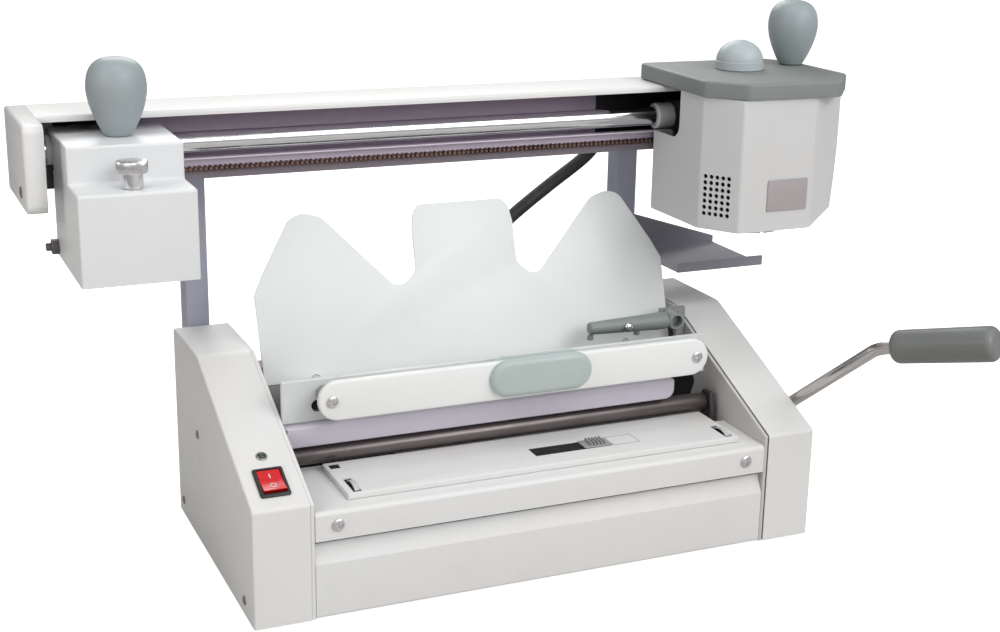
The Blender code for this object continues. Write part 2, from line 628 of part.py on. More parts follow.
def arc(centre, radius, start, end, steps):
    """Points of an arc between two angles in degrees."""
    angles = [math.radians(start + (end - start) * step / steps) for step in range(steps + 1)]
    return [(centre[0] + radius * math.cos(angle), centre[1] + radius * math.sin(angle)) for angle in angles]


def circle(centre, radius, sides=SMALL_SIDES):
    return arc(centre, radius, 0, 360, sides)[:-1]


def pill(left, right, height, radius):
    """A bar outline with half-round ends."""
    return (arc((right - radius, height), radius, -90, 90, 8) + arc((left + radius, height), radius, 90, 270,
                                                                    8))


def folded(name, path, wall, left, right):
    """Bent sheet: a middle line of (y, z) places drawn out along x."""
    data = bmesh.new()
    base = Vector((left, *path[0]))
    rows = [[data.verts.new(Vector((x, *point)) - base) for point in path] for x in (left, right)]
    for near, far in zip(zip(*rows), list(zip(*rows))[1:]):
        data.faces.new((near[0], near[1], far[1], far[0]))
    piece = from_bmesh(name, data)
    piece.location = base
    step = piece.modifiers.new("sheet", "SOLIDIFY")
    step.thickness = wall
    step.offset = 0
    step.use_even_offset = True
    return piece


def prism_shell(name, outline, plane, start, end, wall, keep):
    """Sheet walls round an outline, closed by the caps named in keep: start, end or neither.

    The walls leave out the side before a None in the outline, or the closing side when it ends in None.
    """
    points = [point for point in outline if point is not None]
    gaps = {index for index, point in enumerate(outline) if point is None}
    lay = {"yz": lambda a, b, c: (c, a, b), "xy": lambda a, b, c: (a, b, c)}[plane]
    base = Vector(lay(*points[0], start))
    data = bmesh.new()
    low = [data.verts.new(Vector(lay(*point, start)) - base) for point in points]
    high = [data.verts.new(Vector(lay(*point, end)) - base) for point in points]
    count = len(points)
    for index in range(count):
        if index + 1 in gaps:
            continue
        after = (index + 1) % count
        data.faces.new((low[index], low[after], high[after], high[index]))
    if "start" in keep:
        data.faces.new(low)
    if "end" in keep:
        data.faces.new(high)
    bmesh.ops.recalc_face_normals(data, faces=data.faces)
    piece = from_bmesh(name, data)
    piece.location = base
    step = piece.modifiers.new("sheet", "SOLIDIFY")
    step.thickness = wall
    step.offset = 0
    step.use_even_offset = True
    return piece


def tube(name, points, radius, sides_level=2):
    """A round bar along a line of points, with closed ends."""
    curve = bpy.data.curves.new(name, "CURVE")
    curve.dimensions = "3D"
    curve.bevel_depth = radius
    curve.bevel_resolution = sides_level
    curve.use_fill_caps = True
    line = curve.splines.new("POLY")
    line.points.add(len(points) - 1)
    for target, point in zip(line.points, points):
        target.co = (*(Vector(point) - Vector(points[0])), 1)
    piece = bpy.data.objects.new(name, curve)
    parts.objects.link(piece)
    piece.location = points[0]
    return smooth(to_mesh(piece))


def smooth_line(route, steps):
    """Points of a smooth curve through every point of the route."""
    ends = [route[0] * 2 - route[1], *route, route[-1] * 2 - route[-2]]
    line = []
    for before, start, end, after in zip(ends, ends[1:], ends[2:], ends[3:]):
        for step in range(steps):
            share = step / steps
            line.append(0.5 * (2 * start + (end - before) * share
                               + (2 * before - 5 * start + 4 * end - after) * share ** 2
                               + (3 * start - before - 3 * end + after) * share ** 3))
    return line + [route[-1]]


def combine(piece, tool, operation="DIFFERENCE"):
    """Cut a tool out of a piece, or fuse it on. The tool stays as a hidden cutter."""
    for group in list(tool.users_collection):
        group.objects.unlink(tool)
    cutters.objects.link(tool)
    tool.hide_render = True
    tool.display_type = "WIRE"
    step = piece.modifiers.new(operation.lower(), "BOOLEAN")
    step.operation = operation
    step.solver = "EXACT"
    step.object = tool
    return piece


def hold_tool(piece, parent):
    """Cutters move with the piece that they cut."""
    for step in piece.modifiers:
        if step.type == "BOOLEAN" and step.object.parent is None:
            hang(step.object, parent)


def gather(name, pieces):
    """Put separate cutters into one."""
    bpy.context.view_layer.update()
    graph = bpy.context.evaluated_depsgraph_get()
    centre = pieces[0].location.copy()
    data = bmesh.new()
    for piece in pieces:
        mesh = bpy.data.meshes.new_from_object(piece.evaluated_get(graph))
        mesh.transform(Matrix.Translation(-centre) @ piece.matrix_world)
        data.from_mesh(mesh)
    for piece in pieces:
        bpy.data.objects.remove(piece, do_unlink=True)
    whole = from_bmesh(name, data)
    whole.location = centre
    return whole


def finish(piece, parent, look):
    hold_tool(piece, parent)
    return seat(piece, parent, look)


def screw_head(name, place, direction, radius, height):
    profile = [(0, height), (radius * 0.7, height * 0.8), (radius, height * 0.3), (radius, 0), (0, 0)]
    return turned(name, profile, place, direction, SMALL_SIDES)


def drive_screws(piece, places, direction, radius, height):
    """Fuse screw heads to the sheet that they hold, sunk by a hair."""
    for place in places:
        combine(piece,
                screw_head("screw", Vector(place) - Vector(direction) * SEAM, direction, radius,
                           height), "UNION")


def slope_height(depth):
    """Height of the housings' slope at a depth."""
    return FRONT_HEIGHT + (TOP_HEIGHT - FRONT_HEIGHT) * min(depth / SLOPE_DEPTH, 1)


def back_plate_depth(height):
    """Depth of the back plate's middle at a height."""
    return BACK_FOOT_DEPTH + (height - BACK_FOOT_HEIGHT) * math.tan(BACK_LEAN)


SLOPE_ANGLE = math.atan2(TOP_HEIGHT - FRONT_HEIGHT, SLOPE_DEPTH)
INNER_LEFT = HOUSING_WIDTH + SEAM + FRAME_PLATE + SEAM
INNER_RIGHT = BASE_WIDTH - INNER_LEFT
BASE_MIDDLE = BASE_WIDTH / 2
ROCKER_X = HOUSING_WIDTH / 2
rocker_place = (ROCKER_X, BEZEL_CENTRE_DEPTH, slope_height(BEZEL_CENTRE_DEPTH))

machine = add_empty("machine_origin", (0, 0, 0))
glue_middle = (GLUE_LEFT + GLUE_RIGHT) / 2


def housing(name, outer, inner):
    """Sheet housing, open below and toward the middle of the machine."""
    wall = SHEET / 2
    outline = [(wall, FOOT_HEIGHT), (wall, FRONT_HEIGHT - wall), (SLOPE_DEPTH, TOP_HEIGHT - wall),
               (BASE_DEPTH - SEAM - wall, TOP_HEIGHT - wall), (BASE_DEPTH - SEAM - wall, FOOT_HEIGHT), None]
    inward = 1 if inner > outer else -1
    piece = prism_shell(name, outline, "yz", outer + inward * wall, inner, SHEET, "start")
    return piece


def base():
    left = housing("left_housing", 0, HOUSING_WIDTH)
    hole = box("bezel_hole",
               (-BEZEL_WIDTH / 2 + BEZEL_RIM, -BEZEL_LENGTH / 2 + BEZEL_RIM, -ROCKER_ROOT - OVERRUN),
               (BEZEL_WIDTH / 2 - BEZEL_RIM, BEZEL_LENGTH / 2 - BEZEL_RIM, ROCKER_ROOT + OVERRUN))
    hole.location = rocker_place
    hole.rotation_euler = (SLOPE_ANGLE, 0, 0)
    combine(left, hole)
    screws = (SIDE_SCREW_LOW, SIDE_SCREW_BACK, SIDE_SCREW_HIGH)
    drive_screws(left, [(0, *place) for place in screws], (-1, 0, 0), SCREW_RADIUS, SCREW_HEIGHT)
    finish(left, machine, "painted sheet")
    right = housing("right_housing", BASE_WIDTH, BASE_WIDTH - HOUSING_WIDTH)
    combine(right, rod("right_shaft_passage", (BASE_WIDTH - HOUSING_WIDTH / 2, SHAFT_DEPTH, SHAFT_HEIGHT),
                       (BASE_WIDTH + OVERRUN, SHAFT_DEPTH, SHAFT_HEIGHT), SHAFT_RADIUS + SLIDE_GAP))
    drive_screws(right, [(BASE_WIDTH, *place) for place in screws], (1, 0, 0), SCREW_RADIUS, SCREW_HEIGHT)
    finish(right, machine, "painted sheet")

    edge = FRAME_DROP
    outline = [(edge, FOOT_HEIGHT), (BASE_DEPTH - SEAM, FOOT_HEIGHT), (BASE_DEPTH - SEAM, TOP_HEIGHT - edge),
               (SLOPE_DEPTH, TOP_HEIGHT - edge), (edge, FRONT_HEIGHT - edge)]
    shaft_hole = circle((SHAFT_DEPTH, SHAFT_HEIGHT), SHAFT_RADIUS + SLIDE_GAP, ROUND_SIDES)
    for name, start in (("left_frame_plate", HOUSING_WIDTH + SEAM),
                        ("right_frame_plate", BASE_WIDTH - HOUSING_WIDTH - SEAM - FRAME_PLATE)):
        finish(plate(name, outline, "yz", start, start + FRAME_PLATE, [shaft_hole]), machine, "painted sheet")

    wall = SHEET / 2
    back = BASE_DEPTH - SEAM - wall
    pan = folded("base_pan", [(SHEET + PANEL_STRIP_DEPTH, PANEL_TOP_HEIGHT), (SHEET, PANEL_BEND_HEIGHT),
                              (SHEET, FOOT_HEIGHT + wall), (back, FOOT_HEIGHT + wall), (back,
                                                                                        DECK_TOP - wall),
                              (DECK_FRONT, DECK_TOP - wall)], SHEET, INNER_LEFT, INNER_RIGHT)
    for x in (INNER_LEFT + FOOT_INSET, INNER_RIGHT - FOOT_INSET):
        for y in (FOOT_INSET, BASE_DEPTH - FOOT_INSET):
            combine(pan, rod("foot", (x, y, 0), (x, y, FOOT_HEIGHT + wall), FOOT_RADIUS, SMALL_SIDES),
                    "UNION")
    finish(pan, machine, "painted sheet")
    finish(box("book_bed", (INNER_LEFT, BED_FRONT, BED_TOP - BED_THICKNESS),
               (INNER_RIGHT, BED_BACK, BED_TOP)),
           machine, "steel")
    control_low = Vector((INNER_LEFT + FOOT_INSET, BED_BACK + FOOT_RADIUS, FOOT_HEIGHT + SHEET + SEAM))
    control = box("control_box", control_low, control_low + Vector(CONTROL_BOX_SIZE))
    finish(bevel(control, EDGE_ROUND), machine, "dark paint")
    inlet_low = Vector((INNER_LEFT + FOOT_INSET, BASE_DEPTH, INLET_HEIGHT))
    inlet_high = inlet_low + Vector(INLET_SIZE)
    inlet = box("power_inlet", inlet_low, inlet_high)
    rim = Vector((INLET_WALL, INLET_WALL, INLET_WALL))
    recess = box("inlet_recess", inlet_low + rim, inlet_high - rim + Vector((0, INLET_WALL + OVERRUN, 0)))
    finish(combine(inlet, recess), machine, "black plastic")


def on_slope(piece, place):
    piece.location = place
    piece.rotation_euler = (SLOPE_ANGLE, 0, 0)
    return piece


def switch_group():
    """Bezel, rocker and lamp. Their own z stands square to the slope."""
    lift = SEAM
    half_x, half_y = BEZEL_WIDTH / 2, BEZEL_LENGTH / 2
    corners = ((-1, -1), (1, -1), (1, 1), (-1, 1))
    hole = [(sx * (half_x - BEZEL_RIM), sy * (half_y - BEZEL_RIM)) for sx, sy in corners]
    rim = [(sx * half_x, sy * half_y) for sx, sy in corners]
    bezel = plate("switch_bezel", rim, "xy", 0, BEZEL_HEIGHT, [hole])
    normal = Vector((0, -math.sin(SLOPE_ANGLE), math.cos(SLOPE_ANGLE)))
    on_slope(bezel, Vector(rocker_place) + normal * (lift + BEZEL_HEIGHT / 2))
    finish(bezel, machine, "black plastic")

    long = half_y - BEZEL_RIM - ROCKER_GAP * 2
    side = half_x - BEZEL_RIM - ROCKER_GAP
    section = [(-long, ROCKER_CREST), (-long * 0.7, -ROCKER_ROOT), (long * 0.7, -ROCKER_ROOT),
               (long, ROCKER_CREST), (0, ROCKER_DIP)]
    rocker = plate("rocker", section, "yz", -side, side)
    centre = rocker.location.copy()
    upright = Matrix.Rotation(math.pi / 2, 3, "Z") @ Matrix.Rotation(math.pi / 2, 3, "X")
    for vertex in rocker.data.vertices:
        vertex.co = upright @ vertex.co + centre
    rocker.rotation_euler = (SLOPE_ANGLE - ROCKER_TILT, 0, 0)
    rocker.location = Vector(rocker_place) + normal * lift
    finish(rocker, machine, "red plastic")
    lamp_place = Vector((ROCKER_X, LAMP_DEPTH, slope_height(LAMP_DEPTH))) + normal * lift
    lamp = screw_head("indicator_lamp", (0, 0, 0), (0, 0, 1), LAMP_RADIUS, SCREW_HEIGHT)
    finish(on_slope(lamp, lamp_place), machine, "black plastic")


def table_group():
    half = PLATE / 2
    bend = arc((half + EDGE_ROUND, TABLE_TOP - half - EDGE_ROUND), EDGE_ROUND, 180, 90, 3)
    path = [(half, APRON_BOTTOM), *bend, (TABLE_BACK, TABLE_TOP - half)]
    table = folded("table", path, PLATE, INNER_LEFT, INNER_RIGHT)
    for x in (INNER_LEFT, INNER_RIGHT):
        inward = TABLE_NOTCH_WIDTH if x == INNER_LEFT else -TABLE_NOTCH_WIDTH
        ends = sorted((x - math.copysign(OVERRUN, inward), x + inward))
        combine(table, box("arm_notch", (ends[0], TABLE_NOTCH_FRONT, TABLE_TOP - PLATE - OVERRUN),
                           (ends[1], TABLE_BACK + OVERRUN, TABLE_TOP + OVERRUN)))
    screws = [(x, 0, TABLE_TOP - APRON_SCREW_DROP) for x in (INNER_LEFT + APRON_SCREW_INSET,
                                                             INNER_RIGHT - APRON_SCREW_INSET)]
    drive_screws(table, screws, (0, -1, 0), APRON_SCREW_RADIUS, APRON_SCREW_HEIGHT)
    finish(table, machine, "painted sheet")

    def ring(left, right, front, back):
        return [(left, front), (right, front), (right, back), (left, back)]

    slot_front, slot_back = SLOT_CENTRE - SLOT_WIDTH / 2, SLOT_CENTRE + SLOT_WIDTH / 2
    left_clip = PLATFORM_LEFT + CLIP_INSET
    right_clip = PLATFORM_RIGHT - CLIP_INSET
    holes = [ring(SLOT_LEFT, SLOT_RIGHT, slot_front, slot_back)]
    clips = []
    for x in (left_clip, right_clip):
        low, high = x - CLIP_WIDTH / 2, x + CLIP_WIDTH / 2
        holes.append(ring(low, high, CLIP_FRONT, CLIP_BACK + CLIP_WIDTH))
        clips.append(box("clip", (low + SEAM, CLIP_FRONT - CLIP_PROUD, TABLE_TOP + SEAM * 2),
                         (high - SEAM, CLIP_BACK, PLATFORM_TOP + CLIP_PROUD)))
    outline = ring(PLATFORM_LEFT, PLATFORM_RIGHT, PLATFORM_FRONT, PLATFORM_BACK)
    platform = plate("cover_platform", outline, "xy", TABLE_TOP + SEAM, PLATFORM_TOP, holes)
    clips.append(rod("tab", (left_clip, PLATFORM_BACK - TAB_RADIUS * 1.2, PLATFORM_TOP - SEAM),
                     (left_clip, PLATFORM_BACK - TAB_RADIUS * 1.2,
                      PLATFORM_TOP + CLIP_PROUD), TAB_RADIUS, SMALL_SIDES))
    for clip in clips:
        combine(platform, clip, "UNION")
    finish(platform, machine, "painted sheet")
    runner = box("thickness_slider",
                 (SLOT_RIGHT - SEAM - SLIDER_LENGTH, slot_front + SLIDE_GAP, TABLE_TOP + SLIDE_GAP),
                 (SLOT_RIGHT - SEAM, slot_back - SLIDE_GAP, PLATFORM_TOP + SLIDER_PROUD))
    finish(bevel(runner, EDGE_ROUND), machine, "grey plastic")


def press_frame():
    """Shaft, arms, nip bar and lower jaw, which the lever turns back together."""
    lever_end = BASE_WIDTH + SEAM * 2
    shaft = rod("lever_shaft", (SHAFT_START, SHAFT_DEPTH, SHAFT_HEIGHT), (LEVER_X, SHAFT_DEPTH, SHAFT_HEIGHT),
                SHAFT_RADIUS)
    combine(shaft, rod("lever_hub", (lever_end, SHAFT_DEPTH, SHAFT_HEIGHT),
                       (lever_end + HUB_LENGTH, SHAFT_DEPTH, SHAFT_HEIGHT), HUB_RADIUS), "UNION")
    press = finish(shaft, machine, "chrome")

    shaft_hole = circle((SHAFT_DEPTH, SHAFT_HEIGHT), SHAFT_RADIUS + SEAM, ROUND_SIDES)
    seat_top = JAW_BOTTOM - SEAM
    outline = arc((SHAFT_DEPTH, SHAFT_HEIGHT), ARM_HUB_RADIUS, 180, 360, 8)
    outline += [(NIP_DEPTH + NIP_RADIUS, NIP_HEIGHT), (JAW_BACK, seat_top), (JAW_FRONT, seat_top)]
    left_arm = INNER_LEFT + ARM_GAP
    right_arm = INNER_RIGHT - ARM_RIGHT_GAP - ARM_THICKNESS
    for name, x in (("left_press_arm", left_arm), ("right_press_arm", right_arm)):
        finish(plate(name, outline, "yz", x, x + ARM_THICKNESS, [shaft_hole]), press, "steel")
    nip = rod("nip_bar", (left_arm + ARM_THICKNESS + SEAM, NIP_DEPTH, NIP_HEIGHT),
              (right_arm - SEAM, NIP_DEPTH, NIP_HEIGHT), NIP_RADIUS)
    for x in (left_arm + JAW_REST_LENGTH * 2, JAW_RIGHT - JAW_REST_LENGTH * 1.5):
        combine(nip,
                box("jaw_rest", (x, NIP_DEPTH - NIP_RADIUS / 2, NIP_HEIGHT),
                    (x + JAW_REST_LENGTH, JAW_BACK, seat_top)), "UNION")
    finish(nip, press, "dark paint")
    jaw_outline = [(JAW_LEFT, JAW_BOTTOM)]
    jaw_outline += arc((JAW_RIGHT - JAW_CORNER, JAW_BOTTOM + JAW_CORNER), JAW_CORNER, -90, 0, 4)
    jaw_outline += [(JAW_RIGHT, JAW_TOP), (JAW_LEFT, JAW_TOP)]
    finish(plate("lower_jaw", jaw_outline, "xz", JAW_FRONT, JAW_BACK), press, "violet grey")

    pivot = Vector((LEVER_X, SHAFT_DEPTH, SHAFT_HEIGHT))
    elbow = Vector((LEVER_X, BEND_DEPTH, BEND_HEIGHT))
    along = (elbow - pivot).normalized()
    outward = Vector(GRIP_DIRECTION_SHARES).normalized()
    start = elbow - along * BEND_STRAIGHT
    end = elbow + outward * BEND_STRAIGHT
    bend = [start.lerp(elbow, share).lerp(elbow.lerp(end, share), share) for share in (0, 0.25, 0.5, 0.75, 1)]
    foot = pivot + along * (HUB_RADIUS + SEAM)
    points = [foot, *bend, elbow + outward * (GRIP_START - SEAM)]
    finish(tube("lever_rod", points, LEVER_RADIUS, 3), press, "chrome")
    radius, length = GRIP_RADIUS, GRIP_LENGTH
    profile = [(0, length), (radius * 0.5, length), (radius * 0.84, length - radius * 0.2),
               (radius, length - radius * 0.55), (radius, radius * 0.35), (radius * 0.85, radius * 0.1),
               (radius * 0.7, 0), (0, 0)]
    finish(turned("lever_grip", profile, elbow + outward * GRIP_START, outward), press, "grey plastic")


def clamp_group():
    """Jaw plate, bar, grip and guide rods, slid back by hand to press the spine."""
    jaw_back = CLAMP_JAW_FRONT + CLAMP_JAW_THICKNESS
    outline = [(CLAMP_JAW_LEFT, CLAMP_JAW_BOTTOM), (CLAMP_JAW_RIGHT, CLAMP_JAW_BOTTOM),
               (CLAMP_JAW_RIGHT, CLAMP_JAW_TOP), (CLAMP_JAW_LEFT, CLAMP_JAW_TOP)]
    finish(plate("clamp_jaw", outline, "xz", CLAMP_JAW_FRONT, jaw_back,
                 [circle(CLAMP_HOLE, CLAMP_HOLE_RADIUS)]),
           machine, "violet grey")
    bar_back = CLAMP_BAR_FRONT + CLAMP_BAR_THICKNESS
    bar_outline = pill(CLAMP_BAR_LEFT, CLAMP_BAR_RIGHT, CLAMP_BAR_HEIGHT, CLAMP_BAR_RADIUS)
    bar = plate("clamp_bar", bar_outline, "xz", CLAMP_BAR_FRONT, bar_back)
    bevel(bar, EDGE_ROUND, 1)
    screw_x = (CLAMP_BAR_LEFT + CLAMP_SCREW_INSET, CLAMP_BAR_RIGHT - CLAMP_SCREW_INSET)
    drive_screws(bar, [(x, CLAMP_BAR_FRONT, CLAMP_BAR_HEIGHT) for x in screw_x], (0, -1, 0), SCREW_RADIUS,
                 SCREW_HEIGHT)
    for x in screw_x:
        combine(bar, rod("clamp_spacer", (x, bar_back - CLAMP_BAR_THICKNESS / 2, CLAMP_BAR_HEIGHT),
                         (x, CLAMP_JAW_FRONT - SEAM, CLAMP_BAR_HEIGHT), SPACER_RADIUS, SMALL_SIDES), "UNION")
    finish(bar, machine, "painted sheet")
    grip_outline = pill(CLAMP_GRIP_LEFT, CLAMP_GRIP_RIGHT, CLAMP_GRIP_HEIGHT, CLAMP_GRIP_RADIUS)
    grip = plate("clamp_grip", grip_outline, "xz", CLAMP_BAR_FRONT - CLAMP_GRIP_PROUD,
                 bar_back + CLAMP_GRIP_BEHIND)
    bevel(grip, EDGE_ROUND * 2)
    combine(grip, box("bar_passage", (CLAMP_GRIP_LEFT - OVERRUN, CLAMP_BAR_FRONT - SEAM,
                                      CLAMP_GRIP_HEIGHT - CLAMP_GRIP_RADIUS - OVERRUN),
                      (CLAMP_GRIP_RIGHT + OVERRUN, bar_back + SEAM,
                       CLAMP_BAR_HEIGHT + CLAMP_BAR_RADIUS + SEAM)))
    finish(grip, machine, "grey plastic")
    for name, side in (("left_clamp_rod", -1), ("right_clamp_rod", 1)):
        x = BASE_MIDDLE + side * ROD_OFFSET
        finish(rod(name, (x, jaw_back + SEAM, ROD_HEIGHT), (x, ROD_END, ROD_HEIGHT), ROD_RADIUS, SMALL_SIDES),
               machine, "chrome")


def back_group():
    half = [(across * BACK_HALF_WIDTH, up * BACK_SLOPE_LENGTH) for across, up in BACK_OUTLINE_SHARES]
    notch = [(x + ROD_OFFSET, z) for x, z in
             [(BACK_NOTCH_RADIUS, 0)] + arc((0, BACK_NOTCH_RADIUS / 2), BACK_NOTCH_RADIUS, 0, 180, 6)
             + [(-BACK_NOTCH_RADIUS, 0)]]
    right = half + [(0, BACK_SLOPE_LENGTH)]
    left = [(-x, z) for x, z in reversed(half)]
    left_notch = [(-x, z) for x, z in notch]
    outline = right + left + left_notch + notch[::-1]
    back = plate("back_plate", outline, "xz", -PLATE / 2, PLATE / 2)
    up = Vector((0, math.sin(BACK_LEAN), math.cos(BACK_LEAN)))
    back.location = Vector((BASE_MIDDLE + back.location.x, BACK_FOOT_DEPTH,
                            BACK_FOOT_HEIGHT)) + up * back.location.z
    back.rotation_euler = (math.pi / 2 - BACK_LEAN, 0, 0)
    finish(back, machine, "painted sheet")

    rest = (PLATE / 2 + SEAM) / math.cos(BACK_LEAN)
    section = [(back_plate_depth(CROSSBAR_BOTTOM) + rest, CROSSBAR_BOTTOM), (CROSSBAR_BACK, CROSSBAR_BOTTOM),
               (CROSSBAR_BACK, CROSSBAR_TOP), (back_plate_depth(CROSSBAR_TOP) + rest, CROSSBAR_TOP)]
    crossbar = plate("rear_crossbar", section, "yz", INNER_LEFT, INNER_RIGHT)
    for side in (-1, 1):
        x = BASE_MIDDLE + side * ROD_OFFSET
        combine(crossbar, rod("rod_bore", (x, BACK_FOOT_DEPTH - CLAMP_BAR_RADIUS, ROD_HEIGHT),
                              (x, CROSSBAR_BACK + OVERRUN, ROD_HEIGHT), ROD_RADIUS + ROD_GAP, SMALL_SIDES))
    finish(crossbar, machine, "steel")


def gauge_group():
    pivot = (GAUGE_PIVOT_X, GAUGE_HEIGHT)
    bracket_front = GAUGE_BACK + SEAM
    stem = INNER_RIGHT - GAUGE_BRACKET_STEM
    top = GAUGE_HEIGHT + GAUGE_RING_RADIUS
    shelf = GAUGE_HEIGHT - GAUGE_RING_RADIUS
    outline = [(stem, GAUGE_BRACKET_BOTTOM), (INNER_RIGHT, GAUGE_BRACKET_BOTTOM), (INNER_RIGHT, top),
               (pivot[0] - GAUGE_RING_RADIUS, top), (pivot[0] - GAUGE_RING_RADIUS, shelf), (stem, shelf)]
    bracket = plate("gauge_bracket", outline, "xz", bracket_front, bracket_front + GAUGE_BRACKET_THICKNESS)
    pin_front = (GAUGE_FRONT + GAUGE_BACK) / 2
    combine(bracket, rod("gauge_pin", (pivot[0], pin_front, pivot[1]),
                         (pivot[0], bracket_front + GAUGE_BRACKET_THICKNESS / 2,
                          pivot[1]), GAUGE_PIN_RADIUS), "UNION")
    finish(bracket, machine, "steel")

    middle = (GAUGE_FRONT + GAUGE_BACK) / 2
    arm = rod("gauge_arm", (pivot[0], GAUGE_FRONT, pivot[1]), (pivot[0], GAUGE_BACK, pivot[1]),
              GAUGE_RING_RADIUS)
    cone = rod("gauge_cone", (pivot[0] - GAUGE_BORE_RADIUS, middle, pivot[1]),
               (pivot[0] - GAUGE_REACH, middle, pivot[1]),
               GAUGE_RING_RADIUS - SEAM, ROUND_SIDES, end_radius=GAUGE_TIP_RADIUS)
    combine(arm, cone, "UNION")
    combine(arm, rod("gauge_bore", (pivot[0], GAUGE_FRONT - OVERRUN, pivot[1]),
                     (pivot[0], GAUGE_BACK + OVERRUN, pivot[1]), GAUGE_BORE_RADIUS))
    share = GAUGE_SCREW_REACH / GAUGE_REACH
    seat_depth = middle - GAUGE_RING_RADIUS * (1 - share) - GAUGE_TIP_RADIUS * share + SEAM * 2
    profile = [(0, GAUGE_SCREW_RADIUS * 1.15), (GAUGE_SCREW_RADIUS * 0.7, GAUGE_SCREW_RADIUS * 0.95),
               (GAUGE_SCREW_RADIUS, GAUGE_SCREW_RADIUS * 0.45), (GAUGE_SCREW_RADIUS * 0.8, 0), (0, 0)]
    screw = turned("gauge_screw", profile, (pivot[0] - GAUGE_SCREW_REACH, seat_depth, pivot[1]), (0, -1, 0),
                   SMALL_SIDES)
    finish(combine(arm, screw, "UNION"), machine, "painted sheet")


